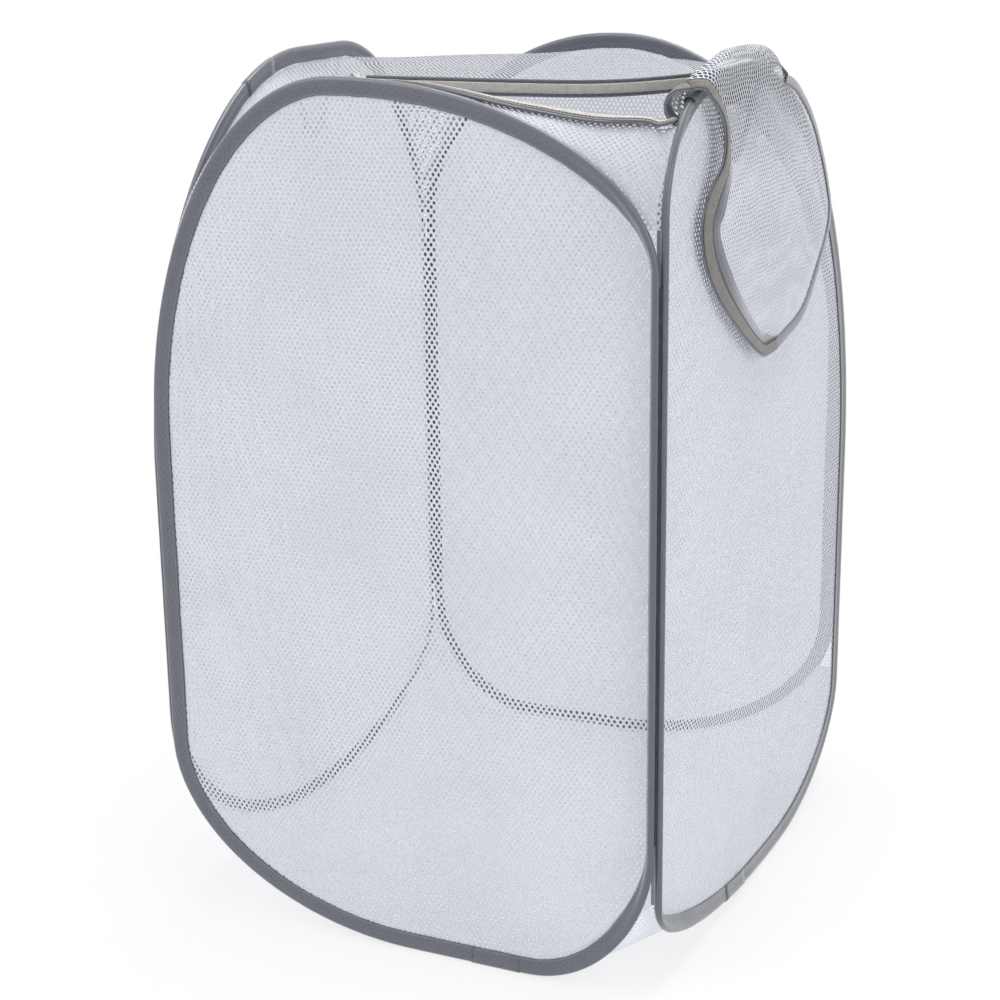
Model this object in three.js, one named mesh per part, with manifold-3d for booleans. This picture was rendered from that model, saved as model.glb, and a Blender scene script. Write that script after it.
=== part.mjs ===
// Pop up laundry hamper: four mesh panels on spring wire hoops, a mesh floor and cover, and a turned out flap.
// Millimetres, +Z up, front towards -Y, origin on the ground under the middle of the floor.
import * as THREE from "three";
import { mergeVertices } from "three/addons/utils/BufferGeometryUtils.js";
import Module from "manifold-3d";

const wasm = await Module();
wasm.setup();

// Whole hamper
const WIDTH = 368;
const DEPTH = 414;
const HEIGHT = 582;
const CLEARANCE = 0.3;
const HALF = 0.5;

// Hoops and their cloth binding
const WIRE_RADIUS = 1.1;
const WIRE_SIDES = 6;
const TUBE_RADIUS = 2.6;
const BAND_WIDTH = 12;
const BAND_HALF_THICKNESS = 1.5;
const SLOT_HALF_THICKNESS = 0.7;
const SHEET_THICKNESS = 0.8;
const PANEL_RIM_INSET = 5.4;
const TUBE_SHOULDER = 1.0;
const TUBE_FOOT = 4.2;
const BAND_FOOT = 5.6;
const POCKET_HALF_THICKNESS = 1.7;
const POCKET_FOOT = 4.6;
const CORNER_STEPS = 8;
const CURVE_SHARE = 0.46;
const SOLVE_STEPS = 30;

// Half thickness of the binding at chosen insets from the hoop's outer line, outside and in the slot
const BINDING_OUTSIDE = [
  [BAND_WIDTH, BAND_HALF_THICKNESS],
  [BAND_FOOT, BAND_HALF_THICKNESS],
  [TUBE_FOOT, TUBE_RADIUS],
  [TUBE_SHOULDER, TUBE_RADIUS],
  [0, TUBE_RADIUS * HALF],
];
const BINDING_SLOT = [
  [TUBE_SHOULDER, POCKET_HALF_THICKNESS],
  [POCKET_FOOT, SLOT_HALF_THICKNESS],
  [BAND_WIDTH, SLOT_HALF_THICKNESS],
];

// Reach of each rounded hoop corner, as shares of the hoop's length along the level end and of its height
const HOOP_CORNER_SHARES = {
  front: {
    topStart: { across: 0.4, tall: 0.412 },
    topEnd: { across: 0.58, tall: 0.192 },
    bottomStart: { across: 0.515, tall: 0.217 },
    bottomEnd: { across: 0.246, tall: 0.179 },
  },
  right: {
    topStart: { across: 0.189, tall: 0.137 },
    topEnd: { across: 0.65, tall: 0.533 },
    bottomStart: { across: 0.613, tall: 0.108 },
    bottomEnd: { across: 0.367, tall: 0.141 },
  },
  back: {
    topStart: { across: 0.459, tall: 0.253 },
    topEnd: { across: 0.521, tall: 0.41 },
    bottomStart: { across: 0.246, tall: 0.179 },
    bottomEnd: { across: 0.515, tall: 0.217 },
  },
  left: {
    topStart: { across: 0.526, tall: 0.46 },
    topEnd: { across: 0.323, tall: 0.284 },
    bottomStart: { across: 0.5, tall: 0.24 },
    bottomEnd: { across: 0.45, tall: 0.15 },
  },
};

// Upright corner hinges, where two hoops are sewn side by side
const LEG_OFFSET = 2.75;
const SEAM_RADIUS = 1.0;
const SEAM_SIDES = 10;
const SEAM_END_GAP = 5;
const SEAMS = {
  corner_seam_front_right: { right: 1, back: -1, hoops: [["front", "End"], ["right", "Start"]] },
  corner_seam_front_left: { right: -1, back: -1, hoops: [["front", "Start"], ["left", "Start"]] },
  corner_seam_back_left: { right: -1, back: 1, hoops: [["back", "Start"], ["left", "End"]] },
  corner_seam_back_right: { right: 1, back: 1, hoops: [["back", "End"], ["right", "End"]] },
};

// Second binding layer where the ends of each binding meet
const LAP_FOOT_EASE = 1.2;
const LAP_SHOULDER_EASE = 0.8;
const LAP_UNDERSIDE = [
  [BAND_WIDTH, BAND_HALF_THICKNESS + CLEARANCE],
  [BAND_FOOT + LAP_FOOT_EASE, BAND_HALF_THICKNESS + CLEARANCE],
  [TUBE_FOOT + LAP_FOOT_EASE, TUBE_RADIUS + CLEARANCE],
  [TUBE_SHOULDER + LAP_SHOULDER_EASE, TUBE_RADIUS + CLEARANCE],
];
const LAP_THICKNESS = 0.5;
const LAP_LENGTH = 42;
const LAP_STEPS = 3;
const SLOPE_STEP = 1;
// Middle of each lap from the hoop's middle, as a share of the hoop's length
const LAPS = {
  front: { middleShare: 0.19, top: false },
  right: { middleShare: -0.127, top: false },
  back: { middleShare: -0.19, top: false },
  left: { middleShare: -0.12, top: true },
};

// Floor and cover sheets
const SHEET_CELLS = 16;
const DRAPE_THICKNESS = 1.2;
const SHEET_EDGE_INSET = 3.5;
const FLOOR_REACH = 110;
const COVER_REACH = 120;
const COVER_MIDDLE_DROP = 12;

// Tongue shaped opening in the cover, as shares of half the width and half the depth, in plan
const OPENING_NEAR_SHARES = [
  [1.03, -0.88],
  [0.967, -0.872],
  [0.87, -0.857],
  [0.707, -0.857],
  [0.54, -0.867],
  [0.326, -0.9],
  [0.11, -0.88],
  [-0.11, -0.79],
  [-0.27, -0.64],
  [-0.38, -0.49],
];
const OPENING_FAR_SHARES = [
  [-0.38, -0.455],
  [-0.11, -0.445],
  [0.217, -0.44],
  [0.489, -0.4],
  [0.707, -0.27],
  [0.967, -0.03],
  [1.03, 0.02],
];
const EDGE_BAND = 11;
const EDGE_TAPE = 6;
const EDGE_LAYER = 0.8;
const FAR_END_SHARE = 0.85;
const FAR_BAND_ABOVE = 2;
const FAR_BAND_BELOW = 11;
const FAR_TAPE_BELOW = 5;

// Flap that hangs over the right hoop
const FLAP_PIVOT_OUT = 1;
const FLAP_PIVOT_RISE = 8.7;
const FLAP_ROLL_RADIUS = 6.5;
const FLAP_ROLL_GROWTH = 0.6;
const FLAP_ROLL_SWEEP_ANGLE = 250;
const FLAP_ROLL_LAP_ANGLE = 3;
const FLAP_ROLL_STEPS = 12;
const FLAP_NEAR_INSET = 40;
const FLAP_LENGTH = 288;
const FLAP_DROP = 200;
const FLAP_BINDING = 12;
const FLAP_TAPE = 6;
const FLAP_LAYER = 0.8;
const FLAP_TIP_STEPS = 13;
// Shares of the flap's length along the hoop and of its drop, from the near end of the fold round the tip
const FLAP_OUTLINE_SHARES = [
  [0.014, 0],
  [0.031, 0.07],
  [0.076, 0.15],
  [0.125, 0.265],
  [0.073, 0.35],
  [0.024, 0.4],
  [0, 0.45],
  [0.003, 0.52],
  [0.031, 0.6],
  [0.076, 0.68],
  [0.153, 0.768],
  [0.295, 0.893],
  [0.42, 0.985],
  [0.476, 1],
  [0.531, 0.992],
  [0.691, 0.952],
  [0.778, 0.907],
  [0.91, 0.763],
  [0.972, 0.675],
  [1, 0.59],
  [0.969, 0.48],
  [0.889, 0.37],
  [0.799, 0.25],
  [0.701, 0.145],
  [0.604, 0.055],
  [0.535, 0],
];

// Sleeve that carries the flap on the right hoop, and the curl at its near end
const ROOT_LEAD = 1;
const ROOT_LENGTH = 150;
const ROOT_STEPS = 16;
const ROOT_RADIUS = 3.5;
const ROOT_THICKNESS = 0.5;
const ROOT_START_ANGLE = -30;
const ROOT_SWEEP_ANGLE = 240;
const ROOT_SIDES = 8;
const CURL_LENGTH = 10;
const CURL_STEPS = 2;
const CURL_RADIUS = 8.2;
const CURL_END_RADIUS = 3.45;
const ARC_DRAW_POWER = 4;
const CURL_THICKNESS = 0.8;
const CURL_START_ANGLE = -20;
const CURL_SWEEP_ANGLE = 250;
const CURL_SIDES = 12;

// Carry handles: strap loops on the outside of the left and right panels
const STRAP_WIDTH = 8;
const STRAP_THICKNESS = 1;
const HANDLE_BELOW_TOP = 9;
const HANDLE_OUTLINE_SHARES = [
  [0, 0],
  [0.18, 0.42],
  [0.32, 0.84],
  [0.41, 1],
  [0.52, 0.97],
  [0.76, 0.5],
  [1, 0],
];
const HANDLE_LENGTH = 84;
const HANDLES = {
  right: { side: 1, fromShare: -0.594, drop: 44 },
  left: { side: -1, fromShare: -0.024, drop: 56 },
};
const TAB_LENGTH = 46;
const TAB_WIDTH = 9;
const TAB_BELOW_TOP = 12;

// Derived places
const CORNER_X = WIDTH * HALF - TUBE_RADIUS - LEG_OFFSET;
const CORNER_Y = DEPTH * HALF - TUBE_RADIUS - LEG_OFFSET;
const PLANE_X = CORNER_X + LEG_OFFSET;
const PLANE_Y = CORNER_Y + LEG_OFFSET;
const HOOP_HALF_X = CORNER_X - LEG_OFFSET + TUBE_RADIUS;
const HOOP_HALF_Y = CORNER_Y - LEG_OFFSET + TUBE_RADIUS;
const SHEET_HALF_X = PLANE_X - TUBE_RADIUS - CLEARANCE;
const SHEET_HALF_Y = PLANE_Y - TUBE_RADIUS - CLEARANCE;
const FLAP_PIVOT_X = WIDTH * HALF + FLAP_PIVOT_OUT;
const FLAP_PIVOT_Z = HEIGHT + FLAP_PIVOT_RISE;
const FLAP_NEAR_Y = FLAP_NEAR_INSET - DEPTH * HALF;
const inPlan = ([x, y]) => [x * WIDTH * HALF, y * DEPTH * HALF];
const OPENING_NEAR = OPENING_NEAR_SHARES.map(inPlan);
const OPENING_FAR = OPENING_FAR_SHARES.map(inPlan);

const SIDES = {
  front: { half: HOOP_HALF_X, place: (u, z, n) => new THREE.Vector3(u, -PLANE_Y - n, z) },
  right: { half: HOOP_HALF_Y, place: (u, z, n) => new THREE.Vector3(PLANE_X + n, u, z) },
  back: { half: HOOP_HALF_X, place: (u, z, n) => new THREE.Vector3(u, PLANE_Y + n, z) },
  left: { half: HOOP_HALF_Y, place: (u, z, n) => new THREE.Vector3(-PLANE_X - n, u, z) },
};

// Materials
const BINDING_GREY = new THREE.MeshStandardMaterial({ color: 0x74777f, roughness: 0.7 });
const MESH_WHITE = new THREE.MeshStandardMaterial({ color: 0xe8eaef, roughness: 0.85 });
const TAPE_TAUPE = new THREE.MeshStandardMaterial({ color: 0x968c82, roughness: 0.95 });
const WIRE_STEEL = new THREE.MeshStandardMaterial({ color: 0x8d8f92, roughness: 0.4, metalness: 1 });
const THREAD_GREY = new THREE.MeshStandardMaterial({ color: 0x5b5e66, roughness: 0.9 });

const HOOP_CORNERS = {};
for (const [side, corners] of Object.entries(HOOP_CORNER_SHARES)) {
  HOOP_CORNERS[side] = {};
  for (const [name, { across, tall }] of Object.entries(corners)) {
    HOOP_CORNERS[side][name] = { across: across * 2 * SIDES[side].half, tall: tall * HEIGHT };
  }
}

const group = new THREE.Group();

function addPiece(name, geometry, material) {
  const mesh = new THREE.Mesh(geometry, material);
  mesh.name = name;
  group.add(mesh);
}

// A closed body from points and triangles, turned so that its faces point outwards.
function bodyFrom(points, triangles) {
  let sixVolumes = 0;
  for (const [a, b, c] of triangles) {
    sixVolumes += points[a].dot(new THREE.Vector3().crossVectors(points[b], points[c]));
  }
  const turned = sixVolumes < 0 ? triangles.map(([a, b, c]) => [a, c, b]) : triangles;
  const geometry = new THREE.BufferGeometry().setFromPoints(points);
  geometry.setIndex(turned.flat());
  return geometry;
}

function polygonArea(flatPoints) {
  return THREE.ShapeUtils.area(flatPoints.map(([a, b]) => new THREE.Vector2(a, b)));
}

// Triangles of a flat outline, each going round the same way as the outline.
function capTriangles(outline) {
  const contour = outline.map(([a, b]) => new THREE.Vector2(a, b));
  const triangles = THREE.ShapeUtils.triangulateShape(contour, []);
  let covered = 0;
  for (const [a, b, c] of triangles) covered += polygonArea([outline[a], outline[b], outline[c]]);
  const same = covered > 0 === polygonArea(outline) > 0;
  return same ? triangles : triangles.map(([a, b, c]) => [a, c, b]);
}

// Joins a row of equal sections into a body: a ring where the row closes on itself, else with flat ends.
function sweep(rows, flatSection, closed) {
  const width = rows[0].length;
  const triangles = [];
  const spans = closed ? rows.length : rows.length - 1;
  for (let i = 0; i < spans; i++) {
    const here = i * width;
    const next = ((i + 1) % rows.length) * width;
    for (let j = 0; j < width; j++) {
      const k = (j + 1) % width;
      triangles.push([here + j, here + k, next + k]);
      triangles.push([here + j, next + k, next + j]);
    }
  }
  if (!closed) {
    const end = (rows.length - 1) * width;
    for (const [a, b, c] of capTriangles(flatSection)) {
      triangles.push([a, c, b], [end + a, end + b, end + c]);
    }
  }
  return bodyFrom(rows.flat(), triangles);
}

// A flat outline given a thickness between two heights, set in space by place(a, b, height).
function plate(outline, low, high, place) {
  const rows = [low, high].map((height) => outline.map(([a, b]) => place(a, b, height)));
  return sweep(rows, outline, false);
}

// Solid with booleans
function solidOf(geometry) {
  const bare = geometry.clone();
  bare.deleteAttribute("normal");
  bare.deleteAttribute("uv");
  const merged = mergeVertices(bare);
  return new wasm.Manifold(
    new wasm.Mesh({
      numProp: 3,
      vertProperties: merged.attributes.position.array,
      triVerts: new Uint32Array(merged.index.array),
    }),
  );
}

function geometryOf(solid) {
  const mesh = solid.getMesh();
  const geometry = new THREE.BufferGeometry();
  geometry.setAttribute("position", new THREE.BufferAttribute(mesh.vertProperties, mesh.numProp));
  geometry.setIndex(new THREE.BufferAttribute(mesh.triVerts, 1));
  return geometry;
}

function union(first, second) {
  return geometryOf(solidOf(first).add(solidOf(second)));
}

// Rounded hoop corner: distances from the upright side and from the level end at t, 0 on the upright leg.
function cornerAt(corner, t) {
  const s = 1 - t;
  const handle = 3 * s * t * CURVE_SHARE;
  return {
    fromSide: corner.across * (handle * t + t * t * t),
    fromEnd: corner.tall * (s * s * s + handle * s),
  };
}

// Closed outer line of one hoop, counterclockwise in its own plane, with inward directions.
function hoopLine(side) {
  const { half } = SIDES[side];
  const corners = HOOP_CORNERS[side];
  const order = [
    { corner: corners.bottomEnd, end: 1, top: false, rising: false },
    { corner: corners.topEnd, end: 1, top: true, rising: true },
    { corner: corners.topStart, end: -1, top: true, rising: false },
    { corner: corners.bottomStart, end: -1, top: false, rising: true },
  ];
  const line = [];
  for (const { corner, end, top, rising } of order) {
    for (let i = 0; i <= CORNER_STEPS; i++) {
      const t = (rising ? i : CORNER_STEPS - i) / CORNER_STEPS;
      const { fromSide, fromEnd } = cornerAt(corner, t);
      line.push([end * (half - fromSide), top ? HEIGHT - fromEnd : fromEnd]);
    }
  }
  return line.map(([u, z], i) => {
    const [u0, z0] = line[(i + line.length - 1) % line.length];
    const [u1, z1] = line[(i + 1) % line.length];
    const length = Math.hypot(u1 - u0, z1 - z0);
    return { u, z, inU: -(z1 - z0) / length, inZ: (u1 - u0) / length };
  });
}

function cornerDrop(corner, fromSide) {
  if (fromSide >= corner.across) return 0;
  let low = 0;
  let high = 1;
  for (let i = 0; i < SOLVE_STEPS; i++) {
    const middle = (low + high) * HALF;
    if (cornerAt(corner, middle).fromSide < fromSide) low = middle;
    else high = middle;
  }
  return cornerAt(corner, low).fromEnd;
}

// How far the hoop's outer line is from its level end, at u along the side.
function edgeDrop(side, u, top) {
  const { half } = SIDES[side];
  const corners = HOOP_CORNERS[side];
  const start = top ? corners.topStart : corners.bottomStart;
  const end = top ? corners.topEnd : corners.bottomEnd;
  return Math.max(cornerDrop(start, Math.max(half + u, 0)), cornerDrop(end, Math.max(half - u, 0)));
}

// Part of one hoop's top or bottom line between two places along the side.
function hoopRun(side, from, to, top, steps) {
  const heightAt = (u) => (top ? HEIGHT - edgeDrop(side, u, top) : edgeDrop(side, u, top));
  const run = [];
  for (let i = 0; i <= steps; i++) {
    const u = from + ((to - from) * i) / steps;
    const slope = (heightAt(u + SLOPE_STEP) - heightAt(u - SLOPE_STEP)) / (2 * SLOPE_STEP);
    const length = Math.hypot(1, slope);
    const inwards = top ? -1 : 1;
    run.push({ u, z: heightAt(u), inU: (-slope * inwards) / length, inZ: inwards / length });
  }
  return run;
}

function sectionRow(side, station, section) {
  const { place } = SIDES[side];
  return section.map(([inset, n]) => {
    return place(station.u + station.inU * inset, station.z + station.inZ * inset, n);
  });
}

function mirrored(section) {
  return [...section].reverse().map(([inset, n]) => [inset, -n]);
}

// Curved cloth section round the hoop's tube; it draws in to the end radius over its last part.
function arcSection(radius, endRadius, thickness, start, sweepAngle, sides) {
  const at = (added, share) => {
    const angle = THREE.MathUtils.degToRad(start + sweepAngle * share);
    const drawn = radius + (endRadius - radius) * share ** ARC_DRAW_POWER + added;
    return [TUBE_RADIUS - drawn * Math.sin(angle), drawn * Math.cos(angle)];
  };
  const inner = [];
  const outer = [];
  for (let i = 0; i <= sides; i++) {
    inner.push(at(0, i / sides));
    outer.push(at(thickness, i / sides));
  }
  return [...inner, ...outer.reverse()];
}

function addHoopPieces(side) {
  const line = hoopLine(side);
  const { place } = SIDES[side];
  const binding = [
    ...BINDING_OUTSIDE,
    ...mirrored(BINDING_OUTSIDE),
    ...mirrored(BINDING_SLOT),
    ...BINDING_SLOT,
  ];
  const wire = [];
  for (let i = 0; i < WIRE_SIDES; i++) {
    const angle = (2 * Math.PI * i) / WIRE_SIDES;
    wire.push([TUBE_RADIUS + WIRE_RADIUS * Math.sin(angle), WIRE_RADIUS * Math.cos(angle)]);
  }
  const rim = line.map((station) => [
    station.u + station.inU * PANEL_RIM_INSET,
    station.z + station.inZ * PANEL_RIM_INSET,
  ]);
  const sheetHalf = SHEET_THICKNESS * HALF;
  const sweepRing = (section) => sweep(line.map((station) => sectionRow(side, station, section)), section, true);
  addPiece(`${side}_wire_hoop`, sweepRing(wire), WIRE_STEEL);
  addPiece(`${side}_binding`, sweepRing(binding), BINDING_GREY);
  addPiece(`${side}_mesh_panel`, plate(rim, -sheetHalf, sheetHalf, place), MESH_WHITE);
}

// Lap of the binding: a thin layer over the band's outer face.
function addLap(side) {
  const { middleShare, top } = LAPS[side];
  const middle = middleShare * 2 * SIDES[side].half;
  const from = middle - LAP_LENGTH * HALF;
  const to = middle + LAP_LENGTH * HALF;
  const over = [...LAP_UNDERSIDE].reverse().map(([inset, n]) => [inset, n + LAP_THICKNESS]);
  const section = [...LAP_UNDERSIDE, ...over];
  const run = hoopRun(side, from, to, top, LAP_STEPS);
  const rows = run.map((station) => sectionRow(side, station, section));
  addPiece(`${side}_binding_lap`, sweep(rows, section, false), BINDING_GREY);
}

function addSeam(name) {
  const { right, back, hoops } = SEAMS[name];
  const reach = (end) => Math.max(...hoops.map(([side, leg]) => HOOP_CORNERS[side][end + leg].tall));
  const low = reach("bottom") + SEAM_END_GAP;
  const high = HEIGHT - reach("top") - SEAM_END_GAP;
  const outline = [];
  for (let i = 0; i < SEAM_SIDES; i++) {
    const angle = (2 * Math.PI * i) / SEAM_SIDES;
    outline.push([
      right * CORNER_X + SEAM_RADIUS * Math.cos(angle),
      back * CORNER_Y + SEAM_RADIUS * Math.sin(angle),
    ]);
  }
  const place = (x, y, z) => new THREE.Vector3(x, y, z);
  addPiece(name, plate(outline, low, high, place), THREAD_GREY);
}

// Height of the drape over the flat middle: edge heights fade out within reach of each side.
function drapeHeight(x, y, top, reach, lift) {
  const fade = (distance) => Math.max(0, 1 - distance / reach) ** 3;
  const corners = HOOP_CORNERS;
  const names = top ? ["topStart", "topEnd"] : ["bottomStart", "bottomEnd"];
  const cap = (sideA, atA, sideB, atB) => {
    return Math.min(corners[sideA][names[atA]].tall, corners[sideB][names[atB]].tall);
  };
  const caps = {
    nearRight: cap("front", 1, "right", 0),
    nearLeft: cap("front", 0, "left", 0),
    farRight: cap("back", 1, "right", 1),
    farLeft: cap("back", 0, "left", 1),
  };
  const capped = (side, u, startCap, endCap) => {
    return Math.min(edgeDrop(side, u, top), u < 0 ? startCap : endCap) + lift;
  };
  const near = fade(y + SHEET_HALF_Y);
  const far = fade(SHEET_HALF_Y - y);
  const left = fade(x + SHEET_HALF_X);
  const right = fade(SHEET_HALF_X - x);
  return (
    near * capped("front", x, caps.nearLeft, caps.nearRight) +
    far * capped("back", x, caps.farLeft, caps.farRight) +
    left * capped("left", y, caps.nearLeft, caps.farLeft) +
    right * capped("right", y, caps.nearRight, caps.farRight) -
    near * right * (caps.nearRight + lift) -
    near * left * (caps.nearLeft + lift) -
    far * right * (caps.farRight + lift) -
    far * left * (caps.farLeft + lift)
  );
}

function floorHeight(x, y) {
  return DRAPE_THICKNESS * HALF + drapeHeight(x, y, false, FLOOR_REACH, SHEET_EDGE_INSET);
}

function coverHeight(x, y) {
  const lift = SHEET_EDGE_INSET - COVER_MIDDLE_DROP;
  return HEIGHT - COVER_MIDDLE_DROP - drapeHeight(x, y, true, COVER_REACH, lift);
}

// Sheet between two offsets from a height over the whole plan, with finer cells near the sides.
function heightSheet(heightAt, low, high) {
  const count = SHEET_CELLS + 1;
  const along = (i, half) => half * Math.sin(Math.PI * (i / SHEET_CELLS - HALF));
  const points = [];
  for (const offset of [low, high]) {
    for (let j = 0; j < count; j++) {
      for (let i = 0; i < count; i++) {
        const x = along(i, SHEET_HALF_X);
        const y = along(j, SHEET_HALF_Y);
        points.push(new THREE.Vector3(x, y, heightAt(x, y) + offset));
      }
    }
  }
  const upper = count * count;
  const triangles = [];
  for (let j = 0; j < SHEET_CELLS; j++) {
    for (let i = 0; i < SHEET_CELLS; i++) {
      const a = j * count + i;
      const b = a + 1;
      const c = a + count;
      const d = c + 1;
      triangles.push([a, d, b], [a, c, d], [upper + a, upper + b, upper + d], [upper + a, upper + d, upper + c]);
    }
  }
  const border = borderLoop(count);
  border.forEach((a, i) => {
    const b = border[(i + 1) % border.length];
    triangles.push([a, b, upper + b], [a, upper + b, upper + a]);
  });
  return bodyFrom(points, triangles);
}

function borderLoop(count) {
  const last = count - 1;
  const loop = [];
  for (let i = 0; i < last; i++) loop.push(i);
  for (let j = 0; j < last; j++) loop.push(j * count + last);
  for (let i = last; i > 0; i--) loop.push(last * count + i);
  for (let j = last; j > 0; j--) loop.push(j * count);
  return loop;
}

// Path moved sideways in its own plane, to the left of its direction for a positive distance.
function offsetPath(path, distance) {
  return path.map(([a, b], i) => {
    const [a0, b0] = path[Math.max(i - 1, 0)];
    const [a1, b1] = path[Math.min(i + 1, path.length - 1)];
    const length = Math.hypot(a1 - a0, b1 - b0);
    return [a - ((b1 - b0) / length) * distance, b + ((a1 - a0) / length) * distance];
  });
}

function uprightPrism(outline) {
  const place = (x, y, z) => new THREE.Vector3(x, y, z);
  return plate(outline, HEIGHT * HALF, HEIGHT + BAND_WIDTH, place);
}

// Layer that lies on the cover along the opening's near edge.
function coverLayer(width, low) {
  const path = OPENING_NEAR.slice(1);
  const strip = [...path, ...offsetPath(path, width).reverse()];
  const base = DRAPE_THICKNESS * HALF;
  const sheet = solidOf(heightSheet(coverHeight, base + low, base + low + EDGE_LAYER));
  return geometryOf(sheet.intersect(solidOf(uprightPrism(strip))));
}

// Band that stands along the opening's far edge, inside the cut.
function farBand(inset, above, below) {
  const path = OPENING_FAR.slice(0, -2);
  const [from, to] = OPENING_FAR.slice(-3, -1);
  path.push(from.map((value, axis) => value + (to[axis] - value) * FAR_END_SHARE));
  const outer = offsetPath(path, inset);
  const inner = offsetPath(path, inset - EDGE_LAYER);
  const section = [
    [0, 0],
    [0, 1],
    [1, 1],
    [1, 0],
  ];
  const rows = outer.map(([x, y], i) => {
    const [x1, y1] = inner[i];
    const z = coverHeight(...path[i]);
    return [
      new THREE.Vector3(x, y, z - below),
      new THREE.Vector3(x, y, z + above),
      new THREE.Vector3(x1, y1, z + above),
      new THREE.Vector3(x1, y1, z - below),
    ];
  });
  return sweep(rows, section, false);
}

function addSheets() {
  const half = DRAPE_THICKNESS * HALF;
  addPiece("floor_mesh", heightSheet(floorHeight, -half, half), MESH_WHITE);
  const cover = solidOf(heightSheet(coverHeight, -half, half));
  const hole = solidOf(uprightPrism([...OPENING_NEAR, ...OPENING_FAR]));
  addPiece("top_mesh", geometryOf(cover.subtract(hole)), MESH_WHITE);
  addPiece("opening_near_binding", coverLayer(EDGE_BAND, CLEARANCE), BINDING_GREY);
  addPiece("opening_near_tape", coverLayer(EDGE_TAPE, 2 * CLEARANCE + EDGE_LAYER), TAPE_TAUPE);
  addPiece("opening_far_binding", farBand(-CLEARANCE, FAR_BAND_ABOVE, FAR_BAND_BELOW), BINDING_GREY);
  const tapeInset = -2 * CLEARANCE - EDGE_LAYER;
  addPiece("opening_far_tape", farBand(tapeInset, FAR_BAND_ABOVE, FAR_TAPE_BELOW), TAPE_TAUPE);
}

// The flap: a tongue sheet that hangs from a rolled fold above the right hoop.
function addFlap() {
  const path = FLAP_OUTLINE_SHARES.map(([along, down]) => [
    FLAP_NEAR_Y + along * FLAP_LENGTH,
    FLAP_PIVOT_Z - down * FLAP_DROP,
  ]);
  const place = (y, z, x) => new THREE.Vector3(x, y, z);
  const hang = FLAP_PIVOT_X + FLAP_ROLL_RADIUS;
  const half = FLAP_LAYER * HALF;
  const tongue = plate(path, hang - half, hang + half, place);
  const foldEnd = path[path.length - 1][0];
  addPiece("flap_mesh", union(tongue, flapRoll(path[0][0], foldEnd)), MESH_WHITE);
  const bindingLow = hang + half + CLEARANCE;
  const bandPath = path.slice(1, -1);
  const band = [...bandPath, ...offsetPath(bandPath, FLAP_BINDING).reverse()];
  addPiece("flap_binding", plate(band, bindingLow, bindingLow + FLAP_LAYER, place), BINDING_GREY);
  const tapeLow = bindingLow + FLAP_LAYER + CLEARANCE;
  const tapePath = path.slice(1, FLAP_TIP_STEPS + 1);
  const tape = [...tapePath, ...offsetPath(tapePath, FLAP_TAPE).reverse()];
  addPiece("flap_hook_tape", plate(tape, tapeLow, tapeLow + FLAP_LAYER, place), TAPE_TAUPE);
}

function flapRoll(foldStart, foldEnd) {
  const section = [];
  const half = FLAP_LAYER * HALF;
  const at = (radius, step) => {
    const share = step / FLAP_ROLL_STEPS;
    const degrees = -FLAP_ROLL_LAP_ANGLE + (FLAP_ROLL_SWEEP_ANGLE + FLAP_ROLL_LAP_ANGLE) * share;
    const angle = THREE.MathUtils.degToRad(degrees);
    const grown = radius + FLAP_ROLL_GROWTH * share;
    return [FLAP_PIVOT_X + grown * Math.cos(angle), FLAP_PIVOT_Z + grown * Math.sin(angle)];
  };
  for (let i = 0; i <= FLAP_ROLL_STEPS; i++) section.push(at(FLAP_ROLL_RADIUS - half, i));
  for (let i = FLAP_ROLL_STEPS; i >= 0; i--) section.push(at(FLAP_ROLL_RADIUS + half, i));
  const place = (x, z, y) => new THREE.Vector3(x, y, z);
  return plate(section, foldStart, foldEnd, place);
}

function addFlapRoot() {
  const foldStart = FLAP_NEAR_Y + FLAP_OUTLINE_SHARES[0][0] * FLAP_LENGTH;
  const rootFrom = foldStart - ROOT_LEAD;
  const curlTo = rootFrom - ROOT_LEAD;
  const sleeve = arcSection(ROOT_RADIUS, ROOT_RADIUS, ROOT_THICKNESS, ROOT_START_ANGLE, ROOT_SWEEP_ANGLE, ROOT_SIDES);
  const sleeveRun = hoopRun("right", rootFrom, rootFrom + ROOT_LENGTH, true, ROOT_STEPS);
  const sleeveRows = sleeveRun.map((station) => sectionRow("right", station, sleeve));
  addPiece("flap_root", sweep(sleeveRows, sleeve, false), BINDING_GREY);
  const curl = arcSection(CURL_RADIUS, CURL_END_RADIUS, CURL_THICKNESS, CURL_START_ANGLE, CURL_SWEEP_ANGLE, CURL_SIDES);
  const curlRun = hoopRun("right", curlTo - CURL_LENGTH, curlTo, true, CURL_STEPS);
  const curlRows = curlRun.map((station) => sectionRow("right", station, curl));
  addPiece("flap_root_curl", sweep(curlRows, curl, false), TAPE_TAUPE);
}

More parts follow.
